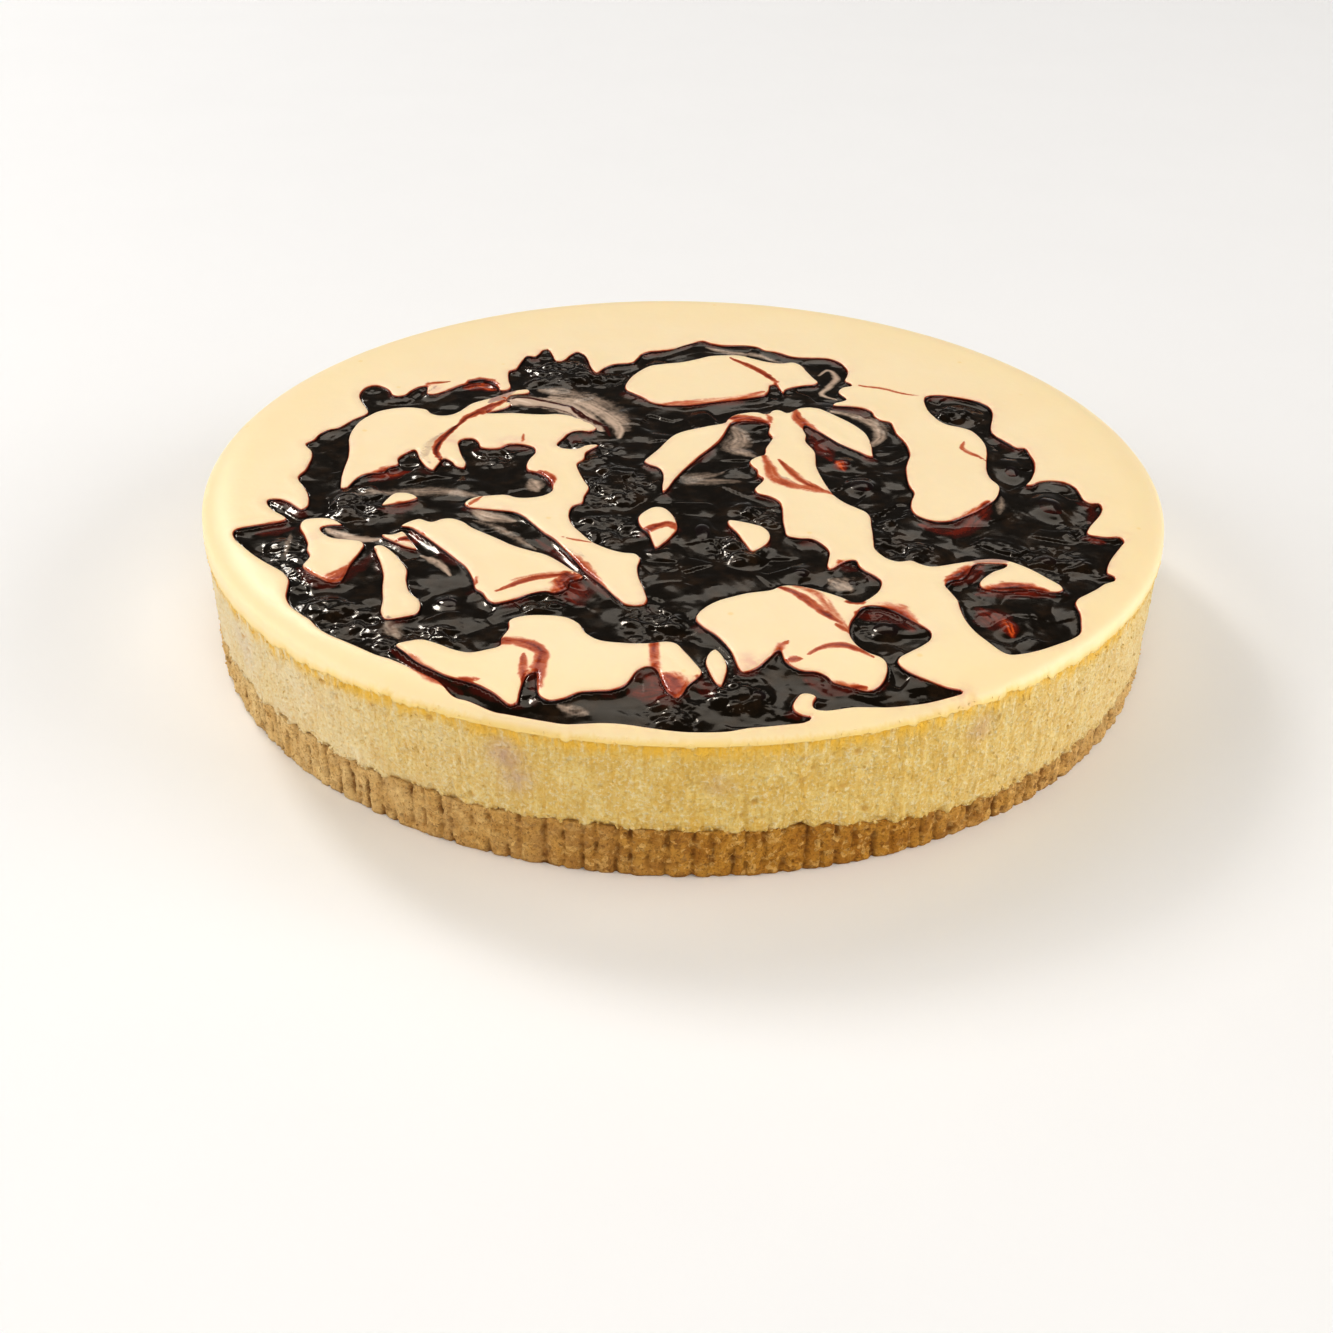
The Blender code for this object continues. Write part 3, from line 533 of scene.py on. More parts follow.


# Strokes of thin red and milky compote; several milky ones over the compote are painted sheen in place of
# reflections of the lights.
STROKES = (
    Stroke(((46.5, 51), (50, 50), (55, 49), (60, 46), (65, 44)), 1.7, 0.42),
    Stroke(((73.5, 15), (72.5, 11), (75, 7), (77.5, 4)), 2.0, 0.4),
    Stroke(((13, 69), (17, 65), (20, 61.5), (23, 57), (25, 53), (26, 49)), 2.6, 0.62),
    Stroke(((-59.5, 20), (-58, 24), (-54, 29), (-51, 33), (-48, 37)), 3.4, 0.7),
    Stroke(((-52, 36), (-46, 37), (-38, 37), (-31, 33), (-26, 27), (-22, 20)), 8.0, 1.25, Film.MILK_AND_SHEEN),
    Stroke(((-50, 37.5), (-44, 39.3), (-37, 38.6), (-30, 34), (-25.5, 28)), 1.8, 0.62),
    Stroke(((-44, 34.5), (-38, 34), (-31, 30), (-26.5, 24.5)), 1.3, 0.5),
    Stroke(((-40, 41), (-33, 38.5), (-27, 33), (-22, 25)), 2.6, 0.8, Film.MILK_AND_SHEEN),
    Stroke(((-37, 42), (-29, 38.5), (-22, 32), (-17.5, 23), (-17, 16)), 6.5, 0.85, Film.MILK_AND_SHEEN),
    Stroke(((-47, 43), (-50, 39), (-53, 34)), 4.5, 0.8, Film.MILK_AND_SHEEN),
    Stroke(((-31, 35), (-29, 31), (-25, 27), (-21, 22), (-19.5, 17)), 2.6, 0.6),
    Stroke(((-59, 21), (-61.5, 15), (-63.5, 8), (-63.5, 3), (-61, -3)), 2.4, 0.75),
    Stroke(((-61, 18), (-65, 8), (-66, 0), (-64, -4)), 5.0, 0.35, Film.MILK_AND_SHEEN),
    Stroke(((-42, 15), (-41.8, 9)), 1.2, 0.35),
    Stroke(((-52, -27), (-49, -22)), 1.8, 0.5),
    Stroke(((-51, -28), (-46, -31.5), (-40, -32)), 5.0, 0.8, Film.MILK_AND_SHEEN),
    Stroke(((-41, -68), (-37, -64.5), (-33, -61.8), (-28, -60.4), (-21, -60)), 2.6, 0.55),
    Stroke(((-38, -63), (-30, -60), (-22, -58.5)), 3.5, 0.3),
    Stroke(((-46, -61), (-45.8, -65)), 1.3, 0.45),
    Stroke(((-28, -42), (-24, -43.5), (-20.5, -44.5)), 1.2, 0.35),
    Stroke(((-34, -42), (-29, -48), (-24, -54), (-20, -61), (-16, -68)), 4.2, 0.62),
    Stroke(((-30, -44), (-25, -50), (-21, -56)), 5.0, 0.3, Film.MILK_AND_SHEEN),
    Stroke(((-26, -60), (-24, -65), (-22, -70)), 11.0, 0.75),
    Stroke(((-9, -38), (-5.5, -35.5), (-3.5, -34.5), (-1.5, -35.5)), 3.2, 0.62, Film.RED, False),
    Stroke(((20.5, 5), (22, -3), (22.7, -8), (26, -11.5), (32, -14.5), (37.5, -17)), 4.6, 0.42),
    Stroke(((24.5, 2), (27, -4), (30, -10), (35, -15.5)), 3.0, 0.5),
    Stroke(((21.5, -5), (24, -9), (28, -12)), 4.5, 0.8, Film.MILK_AND_SHEEN),
    Stroke(((30, 34), (30.5, 28), (33, 22), (38, 15)), 4.0, 0.55),
    Stroke(((22.5, 31), (23, 27), (22.5, 23)), 2.0, 0.4),
    Stroke(((12, 27), (17, 27), (22, 25)), 5.5, 0.6),
    # Partly milky film, partly painted sheen: a pale patch on the compote in place of a reflection of the
    # lights.
    Stroke(((13, 24), (15, 17), (13, 11), (18, 6)), 8.0, 0.6, Film.MILK_AND_SHEEN),
    # Painted sheen: a pale patch on the compote in place of a reflection of the lights.
    Stroke(((40, 35), (46, 33), (51, 27), (52, 20), (49, 13)), 5.0, 0.7, Film.MILK_AND_SHEEN),
    Stroke(((41, 36), (47, 35), (50, 31)), 3.5, 0.45),
    Stroke(((38, 60), (41, 64), (43, 59), (40, 51), (38, 47), (42, 43)), 2.6, 0.8, Film.MILK_AND_SHEEN),
    Stroke(((6, 79), (13, 76), (20, 74), (28, 69)), 3.4, 0.6, Film.MILK_AND_SHEEN),
    Stroke(((-37.5, -88.5), (-34, -88.8), (-31, -90), (-29, -92.5), (-28.8, -96), (-29.3, -104)), 3.6, 0.62,
           Film.RED, False),
    Stroke(((-32.5, -93), (-32, -103)), 2.2, 0.6),
    Stroke(((-5.5, -87), (-5.3, -92), (-4.8, -99)), 2.6, 0.55, Film.RED, False),
    Stroke(((-6, -100), (-3, -104), (-9, -105)), 12.0, 0.75),
    Stroke(((-61, -91), (-55, -97), (-50, -102), (-44, -105.5)), 3.4, 0.62),
    Stroke(((-46.5, -102.7), (-41.2, -102.7)), 2.4, 0.55),
    Stroke(((20.5, -62.5), (25.5, -66), (28.5, -70), (31.5, -74.5), (35, -79)), 2.8, 0.6),
    Stroke(((24, -62), (30, -66), (33, -74), (36, -81)), 4.0, 0.28),
    Stroke(((33.5, -79), (36.5, -82.5)), 2.2, 0.5),
    Stroke(((27, -91.5), (30, -88.7), (33.5, -87.6), (37, -89), (40.5, -92)), 2.4, 0.55),
    Stroke(((19.5, -92), (23, -86.5)), 2.4, 0.45),
    Stroke(((22.5, -93.7), (25.5, -93.2)), 2.6, 0.55),
    Stroke(((-72.5, 41), (-71, 46), (-65.5, 48)), 2.4, 0.42),
    Stroke(((-71, 41), (-69, 45)), 4.0, 0.3, Film.MILK_AND_SHEEN),
    Stroke(((37.3, -69.5), (40, -69.5)), 2.0, 0.9, Film.RED, False),
    Stroke(((66, -50), (70, -49), (75, -49.5)), 3.6, 0.7, Film.MILK_AND_SHEEN),
    Stroke(((60, -59), (65, -56), (69, -51)), 6.0, 0.72),
    Stroke(((-61, 46), (-57, 48), (-52, 45)), 6.5, 1.05),
    Stroke(((-78, -12), (-74, -9), (-69, -6.5)), 5.5, 0.95),
    Stroke(((-73, -29), (-69, -28), (-65, -24.5)), 4.5, 0.7),
    Stroke(((-29, 12), (-28, 16)), 5.0, 0.6),
    Stroke(((-36, -7), (-33, -11), (-32.5, -15)), 3.4, 0.6),
    Stroke(((-38, -10), (-36, -16)), 6.0, 0.7, Film.MILK_AND_SHEEN),
    Stroke(((-8, 35), (4, 37), (14, 40), (22, 45)), 5.0, 0.35),
    Stroke(((34, 20), (36, 12), (38, 4)), 7.0, 0.72),
    Stroke(((39.5, 3.5), (41, -1)), 4.5, 1.2),
    Stroke(((57, -31), (64, -34), (72, -26), (75, -20)), 7.0, 0.72),
    Stroke(((66, -64), (76, -62), (83, -64)), 6.0, 0.72),
    Stroke(((70.5, -74), (71.5, -81)), 5.0, 1.15),
    Stroke(((66, -70), (71, -78)), 10.0, 0.75),
    Stroke(((39, -74), (46, -74), (50, -80)), 9.0, 0.62),
    Stroke(((36, -51), (40, -54)), 5.0, 0.5),
    # Painted sheen: a pale patch on the compote in place of a reflection of the lights.
    Stroke(((34, -58), (38, -62)), 8.0, 0.6, Film.MILK_AND_SHEEN),
    Stroke(((26, -99), (31, -103), (38, -103)), 5.0, 0.6),
    Stroke(((-100, -41), (-92, -38)), 5.5, 0.62),
    Stroke(((-92, -41), (-91, -52)), 2.0, 0.5, Film.MILK_AND_SHEEN),
    Stroke(((-87, -58), (-80, -65), (-74, -58), (-71, -50)), 6.0, 0.5),
    Stroke(((-84, -39), (-78, -42), (-70, -43)), 4.0, 0.85, Film.MILK_AND_SHEEN),
    Stroke(((-66, -45), (-62, -43), (-64, -39)), 4.0, 0.7),
    Stroke(((-60, -50), (-55, -55), (-52, -60)), 2.8, 0.8, Film.MILK_AND_SHEEN),
    # Painted sheen: a broad pale patch on the compote in place of a reflection of the lights.
    Stroke(((-80, -21), (-70, -18), (-60, -17), (-50, -20)), 6.0, 0.5, Film.MILK_AND_SHEEN),
    Stroke(((-50, -33), (-42, -38), (-34, -46)), 3.0, 0.5, Film.MILK_AND_SHEEN),
    Stroke(((-40, 46), (-28, 42), (-20, 33), (-15, 20)), 9.0, 0.5, Film.MILK_AND_SHEEN),
    # Painted sheen: a pale patch on the compote in place of a reflection of the lights.
    Stroke(((10, -4), (2, -8), (14, -9)), 6.0, 0.42, Film.MILK_AND_SHEEN),
    Stroke(((-63, -80), (-60, -86)), 5.0, 0.6, Film.MILK_AND_SHEEN),
    # Painted sheen: a pale patch on the compote in place of a reflection of the lights.
    Stroke(((-24, -110), (-18, -112)), 4.0, 0.55, Film.MILK_AND_SHEEN),
    Stroke(((100, -38), (96, -37)), 3.5, 0.8),
    Stroke(((97, -18), (100, -22), (98, -28)), 4.0, 0.5),
    Stroke(((79, -15), (77, -24)), 3.0, 0.5, Film.MILK_AND_SHEEN),
    Stroke(((4, -100), (7, -106)), 5.0, 0.5),
)


@dataclass(frozen=True)
class Stain:
    """A soft round patch: pink cream beside the compote, or a zone of the compote."""

    x: float
    y: float
    radius: float
    strength: float = 1.0

    def at(self, places: np.ndarray) -> np.ndarray:
        """Strength of the patch at plan points.

        Args:
            places: Plan points, x and y.

        Returns:
            One value for each point, from the strength in the middle to 0.
        """
        distance = np.hypot(places[:, 0] - self.x, places[:, 1] - self.y)
        return self.strength * smoothstep(self.radius, 0.0, distance)


def total_of(patches: Sequence[Stain], places: np.ndarray) -> np.ndarray:
    """All patches together, at most 1."""
    total = np.zeros(len(places))
    for patch in patches:
        total += patch.at(places)
    return np.clip(total, 0.0, 1.0)


PINK_CREAM = (
    Stain(-45, 9, 7, 0.7), Stain(-69, 43, 5, 0.8), Stain(15, -95, 6, 1.0), Stain(54, -49.5, 4, 0.7),
    Stain(59, -103, 4, 0.7), Stain(-61, 10, 6, 0.6), Stain(12, 25, 5, 0.6), Stain(70, -49, 6, 0.8),
    Stain(-45, -31, 7, 0.5), Stain(-42, 34, 9, 0.6), Stain(20, -60, 4, 0.4), Stain(-86, -44, 3, 0.6),
    Stain(104, -36, 4, 0.5), Stain(-65, -46, 5, 0.5),
)
PULP = (
    Stain(-20, -15, 17), Stain(-24, 6, 12), Stain(-18, -36, 11), Stain(-35, 58, 15), Stain(-78, -25, 13),
    Stain(-88, -60, 13), Stain(-74, -80, 13), Stain(-60, -88, 9), Stain(-30, -72, 9), Stain(12, -45, 10),
    Stain(20, -28, 9), Stain(50, -44, 12), Stain(84, -48, 13), Stain(95, -32, 9), Stain(-5, -80, 12),
    Stain(12, -104, 11), Stain(0, -112, 9), Stain(45, -30, 8), Stain(-52, -88, 9), Stain(-20, 55, 9),
    Stain(-48, 2, 9), Stain(42, -78, 8), Stain(72, 34, 8), Stain(-92, -50, 8),
)


class Surface:
    """Triangles that are put together from caps, strips and walls, and then merged."""

    def __init__(self) -> None:
        """Start empty."""
        self.points: list[np.ndarray] = []
        self.faces: list[tuple[int, ...]] = []
        self.count = 0

    def add(self, points: np.ndarray, faces: Sequence[Sequence[int]]) -> None:
        """Add points in millimetres, and faces that count from the first of them.

        Args:
            points: One row of three for each point.
            faces: Corner numbers of each face.
        """
        first = self.count
        self.points.append(np.asarray(points, float))
        self.faces += [tuple(first + corner for corner in face) for face in faces]
        self.count += len(points)

    def cap(self, loops: Sequence[np.ndarray], inner: np.ndarray, height: Callable[[np.ndarray], np.ndarray],
            keep: Callable[[np.ndarray], np.ndarray]) -> None:
        """Fill the plan between closed loops, lifted to a height.

        Args:
            loops: Closed lines of plan points, whose sides stay edges.
            inner: More plan points to use.
            height: Gives the height of plan points.
            keep: Tells from the middles of the faces which ones stay.
        """
        flat = np.vstack([*loops, inner]) if len(inner) else np.vstack(loops)
        sides = []
        first = 0
        for loop in loops:
            sides += [(first + i, first + (i + 1) % len(loop)) for i in range(len(loop))]
            first += len(loop)
        found, _, faces, *_ = delaunay_2d_cdt([Vector(point) for point in flat], sides, [], 0, 1e-6, False)
        places = np.array([point[:] for point in found])
        corners = np.array(faces)
        kept = corners[keep(places[corners].mean(axis=1))]
        self.add(np.column_stack([places, height(places)]), kept.tolist())

    def strip(self, lower: np.ndarray, upper: np.ndarray) -> None:
        """Join two closed rings of the same number of points with triangles.

        Args:
            lower: Points of the first ring.
            upper: Points of the second ring.
        """
        count = len(lower)
        here = np.arange(count)
        after = (here + 1) % count
        faces = np.vstack([
            np.column_stack([here, after, count + after]),
            np.column_stack([here, count + after, count + here]),
        ])
        self.add(np.vstack([lower, upper]), faces.tolist())

    def build(self, name: str, material: bpy.types.Material, merge: float = 2e-3) -> bpy.types.Object:
        """Make the object, closed and with its faces pointing out.

        Args:
            name: The piece's name.
            material: Its finish.
            merge: Points closer than this, in millimetres, become one.

        Returns:
            The new object.
        """
        mesh = bpy.data.meshes.new(name)
        mesh.from_pydata((np.vstack(self.points) * MM).tolist(), [], self.faces)
        shell = bmesh.new()
        shell.from_mesh(mesh)
        bmesh.ops.remove_doubles(shell, verts=shell.verts, dist=merge * MM)
        bmesh.ops.delete(shell, geom=[vert for vert in shell.verts if not vert.link_faces], context="VERTS")
        slits = [edge for edge in shell.edges if edge.is_boundary]
        filled = bmesh.ops.holes_fill(shell, edges=slits, sides=8)["faces"] if slits else []
        bmesh.ops.triangulate(shell, faces=filled)
        bmesh.ops.recalc_face_normals(shell, faces=shell.faces)
        shell.to_mesh(mesh)
        open_edges = sum(1 for edge in shell.edges if len(edge.link_faces) != 2)
        log.info("%s: %d triangles, %d open edges", name, len(shell.faces), open_edges)
        shell.free()
        return link_mesh(name, mesh, material)


def link_mesh(name: str, mesh: bpy.types.Mesh, material: bpy.types.Material) -> bpy.types.Object:
    """Put a mesh into the scene, smooth and dressed.

    Args:
        name: The object's name.
        mesh: Its mesh.
        material: Its finish.

    Returns:
        The new object.
    """
    mesh.materials.clear()
    mesh.materials.append(material)
    mesh.shade_smooth()
    made = bpy.data.objects.new(name, mesh)
    bpy.context.scene.collection.objects.link(made)
    return made


def vertices_of(piece: bpy.types.Object) -> np.ndarray:
    """A piece's vertices in millimetres, one row of three each."""
    flat = np.zeros(3 * len(piece.data.vertices), np.float32)
    piece.data.vertices.foreach_get("co", flat)
    return flat.reshape(-1, 3).astype(float) / MM


def keep_within(piece: bpy.types.Object, radius: float) -> bpy.types.Object:
    """Bring the vertices that stand past a radius back to it.

    Args:
        piece: The object.
        radius: The farthest that it may reach from the cake's axis, in millimetres.

    Returns:
        The same object.
    """
    places = vertices_of(piece)
    reach = reach_of(places)
    places[:, :2] *= (radius / np.maximum(reach, radius))[:, None]
    piece.data.vertices.foreach_set("co", (places * MM).astype(np.float32).ravel())
    piece.data.update()
    return piece


def store(piece: bpy.types.Object, name: str, values: np.ndarray) -> None:
    """Keep one number for each vertex, which the piece's finish reads.

    Args:
        piece: The object.
        name: The attribute's name.
        values: One number for each vertex.
    """
    attribute = piece.data.attributes.new(name, "FLOAT", "POINT")
    attribute.data.foreach_set("value", values.astype(np.float32))


def hexagon_grid(spacing: float, half_width: float) -> np.ndarray:
    """Plan points of an even grid of equal triangles.

    Args:
        spacing: Distance between neighbours.
        half_width: How far it spreads from the middle.

    Returns:
        The points, x and y.
    """
    rows = int(half_width / (spacing * math.sqrt(0.75)))
    columns = int(half_width / spacing) + 1
    points = []
    for row in range(-rows, rows + 1):
        x = (np.arange(-columns, columns + 1) + 0.5 * (row % 2)) * spacing
        points.append(np.column_stack([x, np.full(len(x), row * spacing * math.sqrt(0.75))]))
    return np.vstack(points)


def circle(radius: np.ndarray | float, count: int) -> np.ndarray:
    """Plan points of a ring, counterclockwise.

    Args:
        radius: One radius, or one for each point.
        count: How many points.

    Returns:
        The points, x and y.
    """
    angle = 2.0 * np.pi * np.arange(count) / count
    return np.column_stack([radius * np.cos(angle), radius * np.sin(angle)])


def around(angles: np.ndarray, values: np.ndarray, count: int) -> np.ndarray:
    """Values read round the rim, at even angles.

    Args:
        angles: Where the values are known, in any order.
        values: The known values.
        count: How many even angles.

    Returns:
        One value for each even angle.
    """
    order = np.argsort(angles)
    even = 2.0 * np.pi * np.arange(count) / count
    return np.interp(even, angles[order], values[order], period=2.0 * np.pi)


def edge_at(heights: np.ndarray, places: np.ndarray) -> np.ndarray:
    """Height of an uneven edge at the angle of each point.

    Args:
        heights: The edge's heights at even angles.
        places: Points, x and y first.

    Returns:
        One height for each point.
    """
    angle = angle_of(places)
    even = 2.0 * np.pi * np.arange(len(heights)) / len(heights)
    return np.interp(angle, even, heights, period=2.0 * np.pi)


@dataclass
class Frame:
    """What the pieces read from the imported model."""

    form: CakeForm
    outlines: list[np.ndarray]
    pool: PoolMap
    lip_heights: Callable[[int], np.ndarray]
    base_heights: Callable[[int], np.ndarray]
    base_radii: Callable[[int], np.ndarray]
    level_points: np.ndarray
    floor: float


class FrameReader:
    """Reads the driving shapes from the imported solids."""

    def __init__(self, nodes: dict[str, bpy.types.Object], step: float = 0.7) -> None:
        """Keep the nodes.

        Args:
            nodes: The frame's objects by name.
            step: Distance between the points of the lips' smooth outlines.
        """
        self.nodes = nodes
        self.step = step

    def read(self) -> Frame:
        """Read everything that the pieces need.

        Returns:
            The cake's form, the lips' outlines, the pool's map and the rim's uneven edges.
        """
        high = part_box(Node.FILLING.value)[1]
        form = CakeForm(radius=high.x / MM, height=high.z / MM)
        outlines, floor = self._outlines()
        rim, places = merged_points(self.nodes[Node.FILLING.value])
        rim.free()
        reach = reach_of(places)
        lip = places[reach > form.radius - 0.1]
        base, base_places = merged_points(self.nodes[Node.BASE.value])
        base.free()
        base_reach = np.hypot(base_places[:, 0], base_places[:, 1])
        outer = base_places[base_reach > base_reach.max() - 1.2]
        edge = outer[outer[:, 2] > 5.0]
        foot = outer[(outer[:, 2] > 0.2) & (outer[:, 2] < 5.0)]
        return Frame(
            form=form,
            outlines=outlines,
            pool=PoolMap(outlines),
            lip_heights=lambda count: around(angle_of(lip), lip[:, 2], count),
            base_heights=lambda count: around(angle_of(edge), edge[:, 2], count),
            base_radii=lambda count: around(angle_of(foot), reach_of(foot), count),
            level_points=self._level_points(),
            floor=floor,
        )

    def _outlines(self) -> tuple[list[np.ndarray], float]:
        """The lips of the cream, from the edges where the hollow's walls meet its floor.

        Returns:
            Smooth closed outlines, the outermost first, and the floor's height.
        """
        copy, places = merged_points(self.nodes[Node.FILLING.value])
        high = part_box(Node.COMPOTE.value)[1]
        ceiling = high.z - 4.0 * MM
        upward = [face for face in copy.faces if face.normal.z > 0.99]
        inside = [face for face in upward if face.calc_center_median().z < ceiling]
        floor = inside[0].calc_center_median().z
        floors = set(inside)
        following: dict[int, list[int]] = {}
        for edge in copy.edges:
            if sum(1 for face in edge.link_faces if face in floors) == 1:
                a, b = (vert.index for vert in edge.verts)
                following.setdefault(a, []).append(b)
                following.setdefault(b, []).append(a)
        loops = []
        while following:
            start = next(iter(following))
            loop = [start]
            here, before = following.pop(start)[0], start
            while here != start:
                loop.append(here)
                ways = following.pop(here)
                here, before = (ways[0] if ways[0] != before else ways[1]), here
            loops.append(places[loop][:, :2])
        copy.free()
        loops.sort(key=lambda loop: -np.ptp(loop[:, 0]))
        log.info("%d lips of cream read from the frame", len(loops))
        return [spline(loop, self.step, closed=True) for loop in loops], floor / MM

    def _level_points(self) -> np.ndarray:
        """Points on the compote's top, away from the pockets of the fruits."""
        copy, places = merged_points(self.nodes[Node.COMPOTE.value])
        up = np.array([any(face.normal.z > 0.55 for face in vert.link_faces) for vert in copy.verts])
        copy.free()
        tops = places[up]
        clear = np.ones(len(tops), bool)
        for name in sorted(self.nodes):
            if name.startswith("fruit_"):
                low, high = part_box(name)
                margin = 0.5
                within = (tops[:, 0] > low.x / MM - margin) & (tops[:, 0] < high.x / MM + margin)
                within &= (tops[:, 1] > low.y / MM - margin) & (tops[:, 1] < high.y / MM + margin)
                clear &= ~within
        return tops[clear]


class Tree:
    """A node tree with short ways to add what the finishes need."""

    def __init__(self, name: str) -> None:
        """Make the material.

        Args:
            name: The material's name.
        """
        self.material = bpy.data.materials.new(name)
        self.material.use_nodes = True
        self.nodes = self.material.node_tree.nodes
        self.links = self.material.node_tree.links
        self.shader = self.nodes["Principled BSDF"]
        self.place = self.nodes.new("ShaderNodeTexCoord").outputs["Object"]

    def put(self, socket: bpy.types.NodeSocket, value: object) -> None:
        """Link a socket to another one, or set its number or colour.

        Args:
            socket: The input.
            value: A socket, a number or a colour.
        """
        if isinstance(value, bpy.types.NodeSocket):
            self.links.new(value, socket)
        elif isinstance(value, tuple) and len(value) == 3 and socket.type == "RGBA":
            socket.default_value = (*value, 1.0)
        else:
            socket.default_value = value

    def stretched(self, x: float, y: float, z: float) -> bpy.types.NodeSocket:
        """Object coordinates with their own scale along each axis."""
        node = self.nodes.new("ShaderNodeMapping")
        self.put(node.inputs["Vector"], self.place)
        node.inputs["Scale"].default_value = (x, y, z)
        return node.outputs["Vector"]

    def noise(self, size: float, detail: float = 4.0, rough: float = 0.55, swirl: float = 0.0,
              place: bpy.types.NodeSocket | None = None) -> bpy.types.NodeSocket:
        """Noise whose hills are about size millimetres apart.

        Args:
            size: In millimetres.
            detail: How many finer layers.
            rough: How strong the finer layers are.
            swirl: How much it is distorted.
            place: Coordinates to use in place of the object's own.

        Returns:
            The noise, 0 to 1.
        """
        node = self.nodes.new("ShaderNodeTexNoise")
        self.put(node.inputs["Vector"], place or self.place)
        node.inputs["Scale"].default_value = 1.0 / (size * MM)
        node.inputs["Detail"].default_value = detail
        node.inputs["Roughness"].default_value = rough
        node.inputs["Distortion"].default_value = swirl
        return node.outputs["Fac"]

    def cells(self, size: float) -> bpy.types.ShaderNodeTexVoronoi:
        """Voronoi cells about size millimetres wide."""
        node = self.nodes.new("ShaderNodeTexVoronoi")
        self.put(node.inputs["Vector"], self.place)
        node.inputs["Scale"].default_value = 1.0 / (size * MM)
        return node

    def attribute(self, name: str) -> bpy.types.NodeSocket:
        """A number kept on the piece's vertices."""
        node = self.nodes.new("ShaderNodeAttribute")
        node.attribute_name = name
        return node.outputs["Fac"]

    def math(self, kind: str, first: object, second: object = 0.0) -> bpy.types.NodeSocket:
        """One sum of two numbers or sockets."""
        node = self.nodes.new("ShaderNodeMath")
        node.operation = kind
        self.put(node.inputs[0], first)
        self.put(node.inputs[1], second)
        return node.outputs["Value"]

    def ease(self, value: object, low: float, high: float, start: float = 0.0,
             end: float = 1.0) -> bpy.types.NodeSocket:
        """A value eased from start at low to end at high."""
        node = self.nodes.new("ShaderNodeMapRange")
        node.interpolation_type = "SMOOTHSTEP"
        self.put(node.inputs["Value"], value)
        for name, number in zip(("From Min", "From Max", "To Min", "To Max"), (low, high, start, end)):
            node.inputs[name].default_value = number
        return node.outputs["Result"]

    def mix(self, share: object, first: object, second: object) -> bpy.types.NodeSocket:
        """Two colours mixed by a share."""
        node = self.nodes.new("ShaderNodeMix")
        node.data_type = "RGBA"
        inputs = {socket.identifier: socket for socket in node.inputs}
        self.put(inputs["Factor_Float"], share)
        self.put(inputs["A_Color"], first)
        self.put(inputs["B_Color"], second)
        return next(socket for socket in node.outputs if socket.identifier == "Result_Color")

    def tint(self, colour: object, other: object, share: object, amount: float) -> bpy.types.NodeSocket:
        """A colour with another mixed in by a part of a share."""
        return self.mix(self.math("MULTIPLY", share, amount), colour, other)

    def wander(self, size: float, detail: float = 5.0, rough: float = 0.6) -> bpy.types.NodeSocket:
        """Noise around 0."""
        return self.math("SUBTRACT", self.noise(size, detail, rough), 0.5)

    def ramp(self, value: object, stops: Sequence[tuple[float, Colour]]) -> bpy.types.NodeSocket:
        """Colours along a value.

        Args:
            value: The socket that picks the colour.
            stops: Positions and colours.

        Returns:
            The colour.
        """
        node = self.nodes.new("ShaderNodeValToRGB")
        self.put(node.inputs["Fac"], value)
        elements = node.color_ramp.elements
        while len(elements) < len(stops):
            elements.new(0.5)
        for element, (position, colour) in zip(elements, stops):
            element.position = position
            element.color = (*colour, 1.0)
        return node.outputs["Color"]

    def bump(self, height: object, depth: float, normal: bpy.types.NodeSocket | None = None,
             strength: object = 1.0) -> bpy.types.NodeSocket:
        """Fine relief in the shading.

        Args:
            height: Where it stands up, 0 to 1.
            depth: How deep it is, in millimetres.
            normal: Relief to add it to.
            strength: How strong it shows.

        Returns:
            The normal.
        """
        node = self.nodes.new("ShaderNodeBump")
        node.inputs["Distance"].default_value = depth * MM
        self.put(node.inputs["Strength"], strength)
        self.put(node.inputs["Height"], height)
        if normal:
            self.put(node.inputs["Normal"], normal)
        return node.outputs["Normal"]

    def radius(self) -> bpy.types.NodeSocket:
        """Distance from the cake's axis, in metres."""
        flat = self.stretched(1.0, 1.0, 0.0)
        node = self.nodes.new("ShaderNodeVectorMath")
        node.operation = "LENGTH"
        self.put(node.inputs[0], flat)
        return node.outputs["Value"]

    def dress(self, colour: object, roughness: object, normal: bpy.types.NodeSocket | None,
              **fixed: object) -> None:
        """Connect the shader.

        Args:
            colour: The base colour.
            roughness: The roughness.
            normal: The relief.
            **fixed: Values set on the shader's own sockets, with _ for a space in the name.
        """
        self.put(self.shader.inputs["Base Color"], colour)
        self.put(self.shader.inputs["Roughness"], roughness)
        if normal:
            self.put(self.shader.inputs["Normal"], normal)
        for name, value in fixed.items():
            self.put(self.shader.inputs[name.replace("_", " ")], value)


